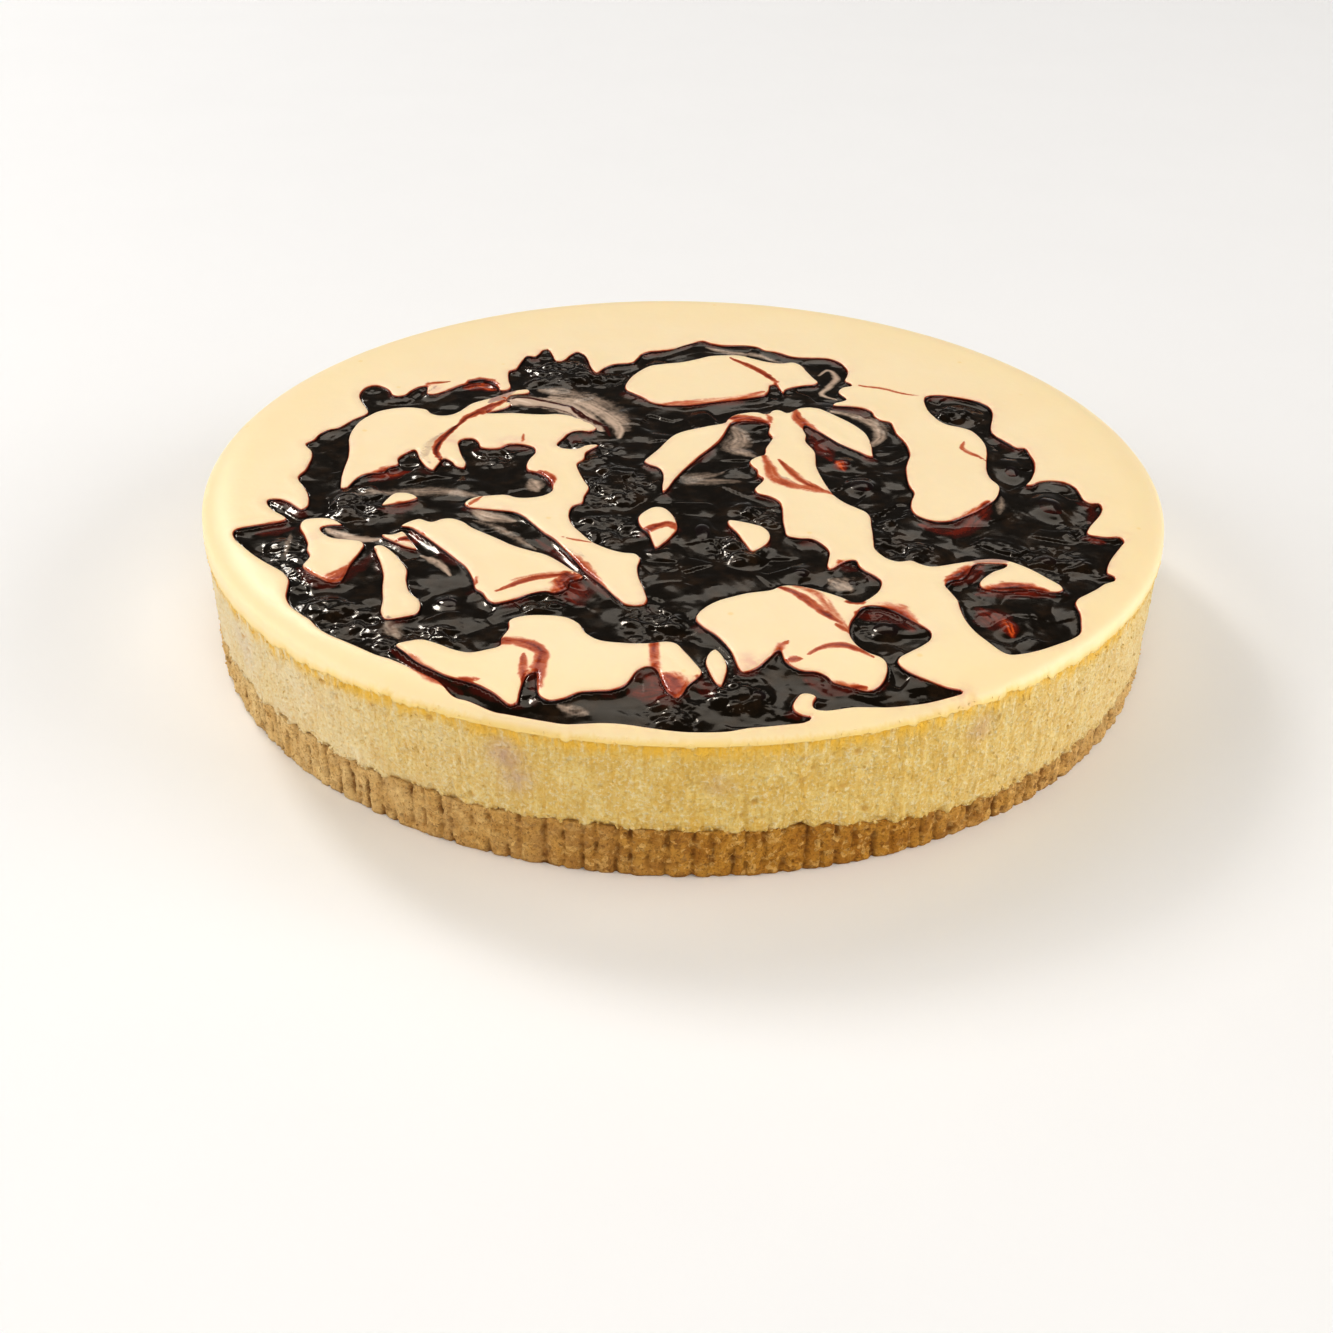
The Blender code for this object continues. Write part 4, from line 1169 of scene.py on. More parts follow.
@dataclass(frozen=True)
class CreamFinish:
    """Baked cream: pale, satin and a little translucent, with streaks of compote on it."""

    cream: Colour = srgb(253, 233, 197)
    rim: Colour = srgb(253, 232, 190)
    warm: Colour = srgb(251, 226, 180)
    torn: Colour = srgb(246, 216, 142)
    pink: Colour = srgb(222, 150, 148)
    milk_and_sheen: Colour = srgb(192, 160, 148)
    film_thin: Colour = srgb(236, 180, 148)
    film_orange: Colour = srgb(204, 112, 70)
    film_red: Colour = srgb(160, 64, 36)
    film_dark: Colour = srgb(92, 32, 18)
    film_black: Colour = srgb(36, 16, 11)

    def material(self) -> bpy.types.Material:
        """Build the material.

        Returns:
            The finish of the cream's skin, which reads the attributes film, milk, stain and torn.
        """
        tree = Tree("baked_cream_skin")
        rim = tree.ease(tree.radius(), 0.088, 0.119)
        colour = tree.mix(rim, self.cream, self.rim)
        mottle = tree.ease(tree.noise(16.0, 3.0), 0.35, 0.7)
        colour = tree.tint(colour, self.warm, mottle, 0.22)
        freckles = tree.ease(tree.cells(17.0).outputs["Distance"], 0.055, 0.02)
        colour = tree.tint(colour, self.torn, freckles, 0.5)
        colour = tree.mix(tree.attribute("torn"), colour, self.torn)
        stain = tree.math("MULTIPLY", tree.attribute("stain"), tree.ease(tree.noise(2.6, 3.0), 0.2, 0.75))
        colour = tree.tint(colour, self.pink, stain, 0.75)
        wander = tree.wander(1.2)
        milk_and_sheen = tree.math("ADD", tree.attribute("milk_and_sheen"), tree.math("MULTIPLY", wander, 0.3))
        colour = tree.mix(tree.ease(milk_and_sheen, 0.1, 0.65), colour, self.milk_and_sheen)
        film = tree.math("ADD", tree.attribute("film"), tree.math("MULTIPLY", wander, 0.14))
        film_colour = tree.ramp(film, (
            (0.14, self.film_thin), (0.32, self.film_orange), (0.52, self.film_red), (0.72, self.film_dark),
            (0.95, self.film_black),
        ))
        covered = tree.ease(film, 0.04, 0.28)
        colour = tree.mix(covered, colour, film_colour)
        wet = tree.math("MAXIMUM", covered, tree.ease(milk_and_sheen, 0.1, 0.4))
        rough = tree.ease(wet, 0.0, 1.0, 0.42, 0.14)
        fine = tree.bump(tree.noise(1.1, 3.0), 0.02)
        brushed = tree.bump(tree.noise(1.6, 4.0, 0.6), 0.25, fine, tree.math("MULTIPLY", wet, 0.6))
        normal = tree.bump(tree.noise(7.0, 2.0), 0.10, brushed)
        tree.dress(colour, rough, normal, Subsurface_Weight=0.15, Subsurface_Scale=0.003,
                   Subsurface_Radius=(1.0, 0.62, 0.3), IOR=1.45)
        return tree.material


@dataclass(frozen=True)
class FillingCrumbFinish:
    """The bared side of the filling: moist yellow crumb with pores and fine upright streaks, painted light on
    the sides that face the lamps and painted shade in the pits.
    """

    crumb: Colour = srgb(246, 219, 142)
    dull: Colour = srgb(239, 205, 119)
    pale: Colour = srgb(254, 240, 204)
    deep: Colour = srgb(233, 190, 84)
    # Colour of the painted shade in the pits.
    pore: Colour = srgb(226, 182, 96)
    under_skin: Colour = srgb(252, 207, 84)
    mauve: Colour = srgb(214, 180, 164)
    # Pale colour of the painted light on the sides that face the lamps.
    painted_light: Colour = srgb(255, 243, 216)

    def material(self) -> bpy.types.Material:
        """Build the material.

        Returns:
            The finish of the side, which reads the attributes pore, under_skin, dry and stain.
        """
        tree = Tree("filling_crumb")
        streaks = tree.noise(1.5, 4.0, 0.6, 0.0, tree.stretched(1.0, 1.0, 0.16))
        grains = tree.noise(0.8, 5.0, 0.65)
        clouds = tree.noise(5.0, 4.0, 0.6)
        colour = tree.mix(tree.ease(clouds, 0.38, 0.62), self.crumb, self.dull)
        colour = tree.tint(colour, self.pale, tree.ease(grains, 0.5, 0.66), 0.75)
        colour = tree.tint(colour, self.deep, tree.ease(grains, 0.46, 0.34), 0.7)
        colour = tree.tint(colour, self.deep, tree.ease(streaks, 0.53, 0.65), 0.62)
        colour = tree.tint(colour, self.pale, tree.ease(streaks, 0.42, 0.32), 0.28)
        # Painted light: the side is paled where it faces the lamps, by angle round the cake.
        painted_light = tree.math("MULTIPLY", tree.attribute("painted_light"), tree.ease(grains, 0.36, 0.5, 0.6, 1.0))
        colour = tree.mix(painted_light, colour, self.painted_light)
        colour = tree.mix(tree.math("MULTIPLY", tree.attribute("under_skin"), tree.ease(streaks, 0.3, 0.6)),
                          colour, self.under_skin)
        # Painted shade: the pits are darkened by their depth.
        colour = tree.mix(tree.attribute("pore"), colour, self.pore)
        colour = tree.mix(tree.attribute("stain"), colour, self.mauve)
        fine = tree.bump(grains, 0.8)
        normal = tree.bump(streaks, 0.55, fine)
        tree.dress(colour, 0.6, normal, IOR=1.42)
        return tree.material


@dataclass(frozen=True)
class BiscuitFinish:
    """Pressed biscuit crumb: golden brown grains, with painted shade in the pleats and at the foot and painted
    light on the sides that face the lamps.
    """

    grain: Colour = srgb(216, 163, 70)
    shade: Colour = srgb(192, 136, 48)
    pale: Colour = srgb(244, 206, 132)
    toasted: Colour = srgb(156, 102, 32)
    # Colour of the painted shade in the pleats and at the foot.
    painted_shade: Colour = srgb(132, 84, 26)
    # Pale colour of the painted light on the sides that face the lamps.
    painted_light: Colour = srgb(255, 226, 168)

    def material(self) -> bpy.types.Material:
        """Build the material.

        Returns:
            The finish of the base, which reads two attributes: the painted shade in the pleats and at the
            foot, and the painted light on the sides that face the lamps.
        """
        tree = Tree("biscuit_crumb")
        cells = tree.cells(1.1)
        grain = tree.noise(0.6, 5.0, 0.7)
        clouds = tree.noise(5.0, 4.0, 0.6)
        colour = tree.mix(tree.ease(clouds, 0.38, 0.64), self.grain, self.shade)
        cell_tone = tree.nodes.new("ShaderNodeSeparateColor")
        tree.put(cell_tone.inputs[0], cells.outputs["Color"])
        ragged = tree.wander(0.8, 4.0, 0.55)
        light_bits = tree.math("ADD", cell_tone.outputs["Red"], ragged)
        dark_bits = tree.math("ADD", cell_tone.outputs["Green"], ragged)
        colour = tree.tint(colour, self.pale, tree.ease(light_bits, 0.62, 1.05), 0.7)
        colour = tree.tint(colour, self.toasted, tree.ease(dark_bits, 0.72, 1.1), 0.8)
        colour = tree.tint(colour, self.toasted, tree.ease(grain, 0.5, 0.66), 0.75)
        # Painted light: the crumb is paled where the base faces the lamps, by angle round the cake.
        painted_light = tree.math("MULTIPLY", tree.attribute("painted_light"), tree.ease(grain, 0.76, 0.5))
        colour = tree.mix(painted_light, colour, self.painted_light)
        # Painted shade: the pleats and the foot are darkened.
        colour = tree.mix(tree.attribute("painted_shade"), colour, self.painted_shade)
        fine = tree.bump(grain, 0.7)
        normal = tree.bump(cells.outputs["Distance"], 0.25, fine)
        tree.dress(colour, 0.78, normal, IOR=1.4)
        return tree.material


@dataclass(frozen=True)
class CompoteFinish:
    """Dark berry compote: almost black, very glossy, red where it is thin."""

    name: str = "berry_compote"
    dark: Colour = (0.0092, 0.0056, 0.0026)
    brown: Colour = (0.034, 0.018, 0.008)
    maroon: Colour = srgb(72, 22, 12)
    red: Colour = srgb(118, 36, 17)
    orange: Colour = srgb(212, 96, 40)
    # Pale tint of the milky streaks and of the painted sheen on the compote.
    milk_and_sheen: Colour = srgb(224, 200, 180)

    def material(self) -> bpy.types.Material:
        """Build the material.

        Returns:
            The finish of the compote, which reads the thin red film, the milky streaks, which are partly
            painted sheen, and the pulp.
        """
        tree = Tree(self.name)
        patches = tree.ease(tree.noise(5.0, 4.0), 0.45, 0.75)
        colour = tree.mix(patches, self.dark, self.brown)
        wander = tree.wander(1.6)
        # Milky streaks, partly a painted sheen that stands in for reflections of the lights.
        milk_and_sheen = tree.math("ADD", tree.attribute("milk_and_sheen"), tree.math("MULTIPLY", wander, 0.5))
        colour = tree.tint(colour, self.milk_and_sheen, tree.ease(milk_and_sheen, 0.05, 0.9), 0.92)
        red = tree.math("ADD", tree.attribute("red"), tree.math("MULTIPLY", wander, 0.45))
        colour = tree.mix(tree.ease(red, 0.12, 0.45), colour, self.maroon)
        colour = tree.mix(tree.ease(red, 0.45, 0.8), colour, self.red)
        colour = tree.mix(tree.ease(red, 0.8, 1.2), colour, self.orange)
        pulp = tree.attribute("pulp")
        wet = tree.ease(tree.noise(3.0, 3.0), 0.3, 0.7, 0.10, 0.20)
        fine = tree.bump(tree.noise(1.7, 2.0, 0.5), 0.22, None, tree.ease(pulp, 0.0, 1.0, 0.02, 0.5))
        normal = tree.bump(tree.noise(3.0, 1.0, 0.5, 0.8), 0.45, fine, tree.ease(pulp, 0.0, 1.0, 0.05, 0.6))
        tree.dress(colour, wet, normal, Coat_Weight=0.2, Coat_Roughness=0.03, IOR=1.40,
                   Specular_Tint=(1.0, 0.84, 0.64))
        return tree.material


@dataclass
class CreamSkin:
    """The cream's skin: the top between the lips, the rolled rim and its torn lower edge."""

    frame: Frame
    rim_points: int = 1500
    offsets: tuple[float, ...] = (0.06, 0.22, 0.5, 0.9, 1.5, 2.2)
    wall_drops: tuple[float, ...] = (0.3, 0.7, 1.2, 1.9)
    rim_radii: tuple[float, ...] = (110.0, 112.0, 114.0, 115.5, 116.7, 117.7, 118.5, 119.1, 119.45)
    rim_ring_points: int = 520
    bottom: float = 30.0
    inner_gap: float = 2.0
    grain: Grain = field(default_factory=lambda: Grain(21))
    tear: Grain = field(default_factory=lambda: Grain(5))

    @property
    def form(self) -> CakeForm:
        """The cake's form."""
        return self.frame.form

    def height(self, places: np.ndarray) -> np.ndarray:
        """Height of the skin at plan points.

        Args:
            places: Plan points, x and y.

        Returns:
            The baked top with slow relief, a slight swelling beside the lips and the lips' rounding.
        """
        flat = flat_points(places)
        distance = np.maximum(self.frame.pool.at(places), 0.0)
        relief = 0.13 * self.grain.layered(flat, 26.0, 2) + 0.035 * self.grain.soft(flat, 5.0)
        swell = 0.12 * np.exp(-(((distance - 2.4) / 1.3) ** 2))
        inner = smoothstep(self.form.top_edge_radius, self.form.roll_start - 3.0, np.hypot(*places.T))
        lip = self.form.lip_round
        within = np.clip(lip - distance, 0.0, lip)
        rounding = lip - np.sqrt(lip * lip - within * within)
        room = self.form.skin_room
        return self.form.baked_top(places) - room + np.minimum(room, (relief + swell) * inner) - rounding

    def lip_top(self, places: np.ndarray) -> np.ndarray:
        """Height of the skin beside each lip, without the lips' rounding."""
        return self.form.baked_top(places) - self.form.skin_room

    def plan_points(self) -> np.ndarray:
        """Plan points of the top: rings beside the lips, and a grid that is finer near lips and strokes.

        Returns:
            The points, x and y.
        """
        pool = self.frame.pool
        chosen = []
        for offset in self.offsets:
            for outline in self.frame.outlines:
                along = np.roll(outline, -1, axis=0) - np.roll(outline, 1, axis=0)
                normal = np.column_stack([along[:, 1], -along[:, 0]])
                normal /= np.linalg.norm(normal, axis=1)[:, None] + 1e-9
                for side in (1.0, -1.0):
                    points = outline + normal * offset * side
                    chosen.append(points[np.abs(pool.at(points) - offset) < 0.05 + 0.12 * offset])
        last = self.offsets[-1] + 0.35
        for spacing, low, high, painted in ((0.48, last, 99.0, True), (0.75, last, 3.6, False),
                                            (1.5, 3.6, 7.5, False), (2.6, 7.5, 99.0, False)):
            grid = hexagon_grid(spacing, self.form.radius)
            distance = pool.at(grid)
            reach = np.hypot(*grid.T)
            grid = grid[(distance >= low) & (distance < high) & (reach < self.form.top_edge_radius - 0.6)]
            chosen.append(grid[self._painted(grid) == painted])
        for radius in self.rim_radii:
            ring = circle(radius, self.rim_ring_points)
            chosen.append(ring[pool.at(ring) > last])
        return np.vstack(chosen)

    @staticmethod
    def _painted(places: np.ndarray) -> np.ndarray:
        """Whether plan points lie under a stroke."""
        painted = np.zeros(len(places), bool)
        for stroke in STROKES:
            reach = 0.62 * stroke.width + 0.5
            for point in stroke.line(1.5):
                painted |= np.hypot(*(places - point).T) < reach
        return painted

    def build(self, material: bpy.types.Material) -> bpy.types.Object:
        """Make the skin as one closed shell.

        Args:
            material: The cream's finish.

        Returns:
            The piece.
        """
        form = self.form
        outlines = self.frame.outlines
        rim = circle(form.top_edge_radius, self.rim_points)
        surface = Surface()
        surface.cap([rim, *outlines], self.plan_points(), self.height, self.frame.pool.cream)
        for outline in outlines:
            top = np.column_stack([outline, self.height(outline)])
            for drop in self.wall_drops:
                lower = top.copy()
                lower[:, 2] = self.height(outline) - drop
                surface.strip(lower, top)
                top = lower
            bottom = np.column_stack([outline, np.full(len(outline), self.bottom)])
            surface.strip(bottom, top)
        self._rim(surface, rim)
        inner = circle(form.radius - self.inner_gap, self.rim_points)
        surface.cap([inner, *outlines], np.zeros((0, 2)), lambda p: np.full(len(p), self.bottom),
                    self.frame.pool.cream)
        piece = surface.build("cream_skin", material)
        self._attributes(piece)
        return piece

    def lip_heights(self, count: int) -> np.ndarray:
        """Height of the torn lower edge of the rim at even angles.

        Args:
            count: How many angles.

        Returns:
            The frame's uneven height, with small tears and a few larger chips.
        """
        heights = self.frame.lip_heights(count)
        flat = flat_points(circle(self.form.radius, count))
        ragged = smoothstep(0.2, 0.9, -flat[:, 1] / self.form.radius)
        tears = (0.34 + 0.3 * ragged) * self.tear.layered(flat, 4.0, 5, 0.75)
        chips = 0.9 * smoothstep(0.35, 0.8, self.tear.soft(flat + 50.0, 9.0)) * self.tear.soft(flat, 1.6)
        degrees = np.arange(count) * 360.0 / count
        for turn, width, drop in RIM_CHIPS:
            arc = np.abs((degrees - turn + 180.0) % 360.0 - 180.0)
            chips += drop * smoothstep(width, 0.3 * width, arc)
        edge = self.form.baked_top(circle(self.form.top_edge_radius, count))
        return np.minimum(heights + tears + chips, edge - 0.7)

    def _rim(self, surface: Surface, rim: np.ndarray) -> None:
        """Add the outside of the rim, from the top's edge down to the lip and back in.

        Args:
            surface: The shell so far.
            rim: Plan points of the top's edge.
        """
        count = len(rim)
        form = self.form
        lip = self.lip_heights(count)
        edge = self.height(rim)
        flat = flat_points(rim)
        wobble = 0.10 * self.tear.soft(flat, 7.0) - 0.10
        levels = [(form.top_edge_radius + 0.0 * lip, edge)]
        for share, out in ((0.35, 0.16), (0.7, 0.26), (0.92, 0.28), (1.0, 0.2)):
            levels.append((form.top_edge_radius + out + wobble * share, edge + (lip - edge) * share))
        levels.append((form.radius - 0.75 + wobble, lip + 0.25))
        levels.append((form.radius - self.inner_gap + 0.0 * lip, lip + 0.6))
        levels.append((form.radius - self.inner_gap + 0.0 * lip, np.full(count, self.bottom)))
        rings = [np.column_stack([circle(radius, count), height]) for radius, height in levels]
        for upper, lower in zip(rings, rings[1:]):
            surface.strip(lower, upper)

    def _attributes(self, piece: bpy.types.Object) -> None:
        """Keep the film of compote, the pink stains and the torn edge on the vertices.

        Args:
            piece: The finished skin.
        """
        places = vertices_of(piece)
        plan = places[:, :2]
        pool = self.frame.pool
        distance = pool.at(plan)
        flat = flat_points(plan)
        depth = self.lip_top(plan) - places[:, 2]
        on_top = depth < 0.8
        film = film_at(STROKES, Film.RED, plan)
        uneven_wall = 0.8 + 0.5 * self.grain.layered(flat + 13.0, 11.0, 2) + 0.3 * np.clip(depth - 0.4, 0, 1)
        wall = smoothstep(0.16, 0.5, depth) * uneven_wall
        film = np.maximum(film, np.where(distance < 1.2, wall, 0.0))
        uneven = 0.5 + 0.5 * self.grain.soft(flat + 90.0, 14.0)
        halo = np.exp(-np.maximum(distance, 0.0) / 1.1) * uneven
        stain = np.clip(0.8 * np.clip(halo, 0, 1) + total_of(PINK_CREAM, plan) * 0.6, 0.0, 1.0)
        reach = np.hypot(*plan.T)
        above = places[:, 2] - edge_at(self.lip_heights(self.rim_points), places)
        torn = np.where(reach > self.form.top_edge_radius - 0.5, smoothstep(2.2, 0.1, above), 0.0)
        store(piece, "film", film)
        store(piece, "milk_and_sheen", film_at(STROKES, Film.MILK_AND_SHEEN, plan) * on_top)
        store(piece, "stain", stain * on_top)
        store(piece, "torn", torn)


RIM_CHIPS = (
    (259.3, 0.6, -1.2), (260.6, 0.6, 0.9), (255.5, 0.8, 0.7), (283.6, 0.7, 1.3), (285.2, 0.6, -0.9),
    (287.0, 0.5, 1.0), (289.4, 1.0, -0.8), (291.5, 0.5, 1.2), (293.2, 0.9, -1.0), (295.4, 0.6, 1.1),
    (297.0, 0.6, -0.7), (240.0, 1.0, 0.9), (243.0, 0.8, -0.6), (310.0, 1.1, 0.7), (222.0, 0.9, -0.5),
    (305.0, 0.7, 0.9),
)


@dataclass
class FillingSide:
    """The bared crumb of the filling's side, a closed band behind the lip."""

    frame: Frame
    skin: CreamSkin
    columns: int = 1500
    rows: int = 44
    inner_radius: float = 112.0
    upper_gap: float = 0.35
    grain: Grain = field(default_factory=lambda: Grain(31))
    pores: Grain = field(default_factory=lambda: Grain(32))

    def build(self, material: bpy.types.Material) -> bpy.types.Object:
        """Make the band.

        Args:
            material: The crumb's finish.

        Returns:
            The piece.
        """
        form = self.frame.form
        foot_radius = float(self.frame.base_radii(self.columns).max())
        upper_radius = form.radius - self.upper_gap
        low = self.frame.base_heights(self.columns) - 0.3
        high = self.skin.lip_heights(self.columns) + 0.35
        rings = []
        pores = []
        for row in range(self.rows + 1):
            share = row / self.rows
            height = low + (high - low) * share
            radius = foot_radius + (upper_radius - foot_radius) * share
            ring = np.column_stack([circle(radius, self.columns), height])
            inset, pore = self._inset(ring, share)
            ring[:, :2] = circle(radius - inset, self.columns)
            rings.append(ring)
            pores.append(pore)
        surface = Surface()
        for lower, upper in zip(rings, rings[1:]):
            surface.strip(lower, upper)
        inner_low = np.column_stack([circle(self.inner_radius, self.columns), low])
        inner_high = np.column_stack([circle(self.inner_radius, self.columns), high])
        surface.strip(rings[-1], inner_high)
        surface.strip(inner_high, inner_low)
        surface.strip(inner_low, rings[0])
        piece = surface.build("filling_side", material)
        self._attributes(piece)
        return piece

    def _inset(self, ring: np.ndarray, share: float) -> tuple[np.ndarray, np.ndarray]:
        """How far the crumb lies in from the solid's face.

        Args:
            ring: Points of one level.
            share: How high the level is, 0 to 1.

        Returns:
            The inset in millimetres and the depth of pores, 0 to 1, at each point.
        """
        ribs = self.grain.layered(ring * np.array([1.0, 1.0, 0.12]), 2.0, 2)
        lumps, _ = self.grain.lumps(ring * np.array([1.0, 1.0, 0.8]), 1.15)
        crumbly = self.pores.layered(ring, 1.5, 3, 0.65)
        slow = self.grain.soft(ring, 11.0)
        pore = self.pits(ring)
        open_foot = smoothstep(-0.3, 0.4, self.pores.soft(ring, 4.0))
        crack = smoothstep(0.10, 0.0, np.full(len(ring), share)) * open_foot
        inset = 0.30 + 0.34 * ribs + 0.26 * (0.6 - lumps) + 0.24 * crumbly + 0.12 * slow
        inset = inset + 0.45 * pore + 0.9 * crack
        near_lip = smoothstep(0.85, 1.0, np.full(len(ring), share))
        inset = inset * (1.0 - 0.5 * near_lip)
        return np.maximum(inset, 0.02), np.clip(pore + 0.8 * crack, 0.0, 1.0)

    def pits(self, places: np.ndarray) -> np.ndarray:
        """Depth of the ragged pits and of the few round bubbles, 0 to 1.

        Args:
            places: Points on the band.

        Returns:
            One depth for each point.
        """
        ragged = smoothstep(0.45, 1.0, self.pores.layered(places + 11.0, 1.6, 3, 0.7))
        ragged *= smoothstep(-0.1, 0.5, self.pores.soft(places, 7.0))
        spots, chance = self.pores.lumps(places, 2.2)
        bubbles = smoothstep(0.78, 0.97, spots) * (chance > 0.93)
        return np.clip(0.8 * ragged + bubbles, 0.0, 1.0)

    def _attributes(self, piece: bpy.types.Object) -> None:
        """Keep pores, whose darker colour is painted shade, the deeper yellow under the skin, the painted
        light on the sides that face the lamps and the mauve stains on the vertices.

        Args:
            piece: The finished band.
        """
        places = vertices_of(piece)
        angle = angle_of(places)
        below = edge_at(self.skin.lip_heights(self.columns), places) - places[:, 2]
        # Painted shade: the pits' depth darkens their colour.
        store(piece, "pore", self.pits(places) * 0.8)
        store(piece, "under_skin", smoothstep(4.6, 0.6, below + 1.2 * self.grain.soft(places, 5.0)))
        # Painted light: paler where the side faces the lamps, read from the table by angle.
        turns, painted_lightness = np.array(PAINTED_LIGHT_SIDE).T
        store(piece, "painted_light", np.interp(np.degrees(angle), turns, painted_lightness, period=360.0)
              * (0.85 + 0.3 * self.grain.soft(places, 9.0)))
        stain = np.zeros(len(places))
        for turn, height, radius, strength in SIDE_STAINS:
            arc = np.abs(np.angle(np.exp(1j * (angle - math.radians(turn))))) * self.frame.form.radius
            reach = np.hypot(arc, places[:, 2] - height)
            stain = np.maximum(stain, strength * smoothstep(radius, 0.0, reach))
        store(piece, "stain", stain * (0.7 + 0.3 * self.grain.soft(places, 1.5)))


# Painted light on the filling's side: how pale it is painted at each angle in degrees, brightest on the left
# where the key lamp falls, weaker on the right and none at the front.
PAINTED_LIGHT_SIDE = ((0.0, 0.5), (45.0, 0.25), (90.0, 0.2), (140.0, 0.3), (180.0, 0.8), (196.0, 0.9), (216.0, 0.8),
            (236.0, 0.42), (256.0, 0.08), (275.0, 0.0), (296.0, 0.05), (316.0, 0.2), (336.0, 0.42))
SIDE_STAINS = (
    (-107.0, 27.0, 6.5, 0.9), (-106.0, 22.0, 6.5, 0.75), (-58.0, 27.0, 5.5, 0.6), (-147.0, 22.0, 8.0, 0.25),
    (-172.0, 25.0, 7.0, 0.12), (-86.0, 24.0, 5.0, 0.35), (35.0, 24.0, 6.0, 0.4), (110.0, 26.0, 7.0, 0.4),
)


@dataclass
class BiscuitBase:
    """The pressed crumb base with the pleats of the paper that lined the tin."""

    frame: Frame
    columns: int = 1700
    rows: int = 25
    chamfer: float = 0.45
    pleats: int = 190
    pleat_depth: float = 0.85
    pleat_share: float = 0.8
    top_inset_radius: float = 110.0
    grain: Grain = field(default_factory=lambda: Grain(41))

    def build(self, material: bpy.types.Material) -> bpy.types.Object:
        """Make the base as one closed drum.

        Args:
            material: The biscuit's finish.

        Returns:
            The piece.
        """
        columns = self.columns
        radii = self.frame.base_radii(columns)
        fine = circle(1.0, columns) * 118.0
        middle = float(np.median(radii))
        radii = middle + self.pleat_share * (radii - middle)
        edge = self.frame.base_heights(columns) + 0.3 * self.grain.layered(flat_points(fine), 3.0, 3)
        rings = []
        for row in range(self.rows + 1):
            share = row / self.rows
            height = edge * share
            taper = self.chamfer * smoothstep(self.chamfer, 0.0, height)
            radius = radii - taper
            ring = np.column_stack([circle(radius, columns), height])
            inset = self._pleats(ring) + self._inset(ring) * (0.0 if row == 0 else 1.0)
            ring[:, :2] = circle(radius - inset, columns)
            rings.append(ring)
        surface = Surface()
        for lower, upper in zip(rings, rings[1:]):
            surface.strip(lower, upper)
        mean_height = float(edge.mean())
        inner = np.column_stack([circle(self.top_inset_radius, columns), np.full(columns, mean_height)])
        surface.strip(rings[-1], inner)
        for ring, height in ((inner, mean_height), (rings[0], 0.0)):
            middle = np.array([[0.0, 0.0, height]])
            here = np.arange(columns)
            fan = np.column_stack([here, (here + 1) % columns, np.full(columns, columns)])
            surface.add(np.vstack([ring, middle]), fan.tolist())
        piece = surface.build("biscuit_drum", material)
        self._attributes(piece)
        return piece

    def _pleats(self, places: np.ndarray) -> np.ndarray:
        """Depth of the narrow folds between the solid's pleats, in millimetres.

        Args:
            places: Points round the wall.

        Returns:
            One depth for each point.
        """
        flat = flat_points(places[:, :2])
        turn = angle_of(places) * self.pleats
        wander = 1.5 * self.grain.soft(flat, 14.0) + 0.9 * self.grain.soft(flat + 20.0, 5.0)
        fold = smoothstep(-0.2, 1.0, np.sin(turn + 2.0 * wander)) ** 2
        broken = 0.55 + 0.8 * self.grain.layered(places * np.array([1.0, 1.0, 0.45]) + 60.0, 3.2, 2, 0.7)
        return self.pleat_depth * fold * np.clip(broken, 0.0, 1.3)

    def _inset(self, ring: np.ndarray) -> np.ndarray:
        """How far the crumb lies in from the pleated wall, in millimetres.

        Args:
            ring: Points of one row of the wall.

        Returns:
            One depth for each point.
        """
        lumps, chance = self.grain.lumps(ring, 1.6)
        small, _ = self.grain.lumps(ring + 33.0, 0.9)
        rough = self.grain.layered(ring, 3.0, 3, 0.6)
        inset = 0.08 + 0.42 * (0.7 - lumps) + 0.24 * (0.6 - small) + 0.24 * rough
        upright = ring * np.array([1.0, 1.0, 0.12])
        crease = smoothstep(0.12, 0.0, np.abs(self.grain.layered(upright + 60.0, 3.0, 2, 0.6)))
        return np.maximum(inset + 0.4 * (chance > 0.9) * lumps + 0.25 * crease, -0.1)

    def _attributes(self, piece: bpy.types.Object) -> None:
        """Keep how deep each vertex lies in a pleat, as painted shade that also darkens the foot, and the
        painted light on the sides that face the lamps.

        Args:
            piece: The finished drum.
        """
        places = vertices_of(piece)
        reach = reach_of(places)
        widest = float(reach.max())
        # Painted shade: darker deeper in the pleats and towards the foot where the base meets the floor.
        depth = smoothstep(widest - 0.6, widest - 1.6, reach)
        foot = smoothstep(1.2, 0.0, places[:, 2])
        angle = np.degrees(angle_of(places))
        # Painted light: paler where the base faces the lamps, read from the table by angle.
        turns, painted_lightness = np.array(PAINTED_LIGHT_BASE).T
        patchy = 0.8 + 0.35 * self.grain.layered(places, 6.0, 2)
        painted_light = np.interp(angle, turns, painted_lightness, period=360.0) * patchy
        store(piece, "painted_shade", np.clip(depth * 0.85 + foot * 0.3, 0.0, 1.0) * (reach > self.top_inset_radius))
        store(piece, "painted_light", np.clip(painted_light * (1.0 - 0.5 * depth), 0.0, 1.0))


# Painted light on the base: how pale it is painted at each angle in degrees, brightest on the left where the
# key lamp falls and none at the front.
PAINTED_LIGHT_BASE = ((0.0, 0.9), (40.0, 0.45), (90.0, 0.35), (140.0, 0.5), (180.0, 1.0), (200.0, 1.0), (216.0, 1.0),
             (236.0, 0.8), (256.0, 0.28), (275.0, 0.0), (294.0, 0.0), (315.0, 0.42), (335.0, 0.85))


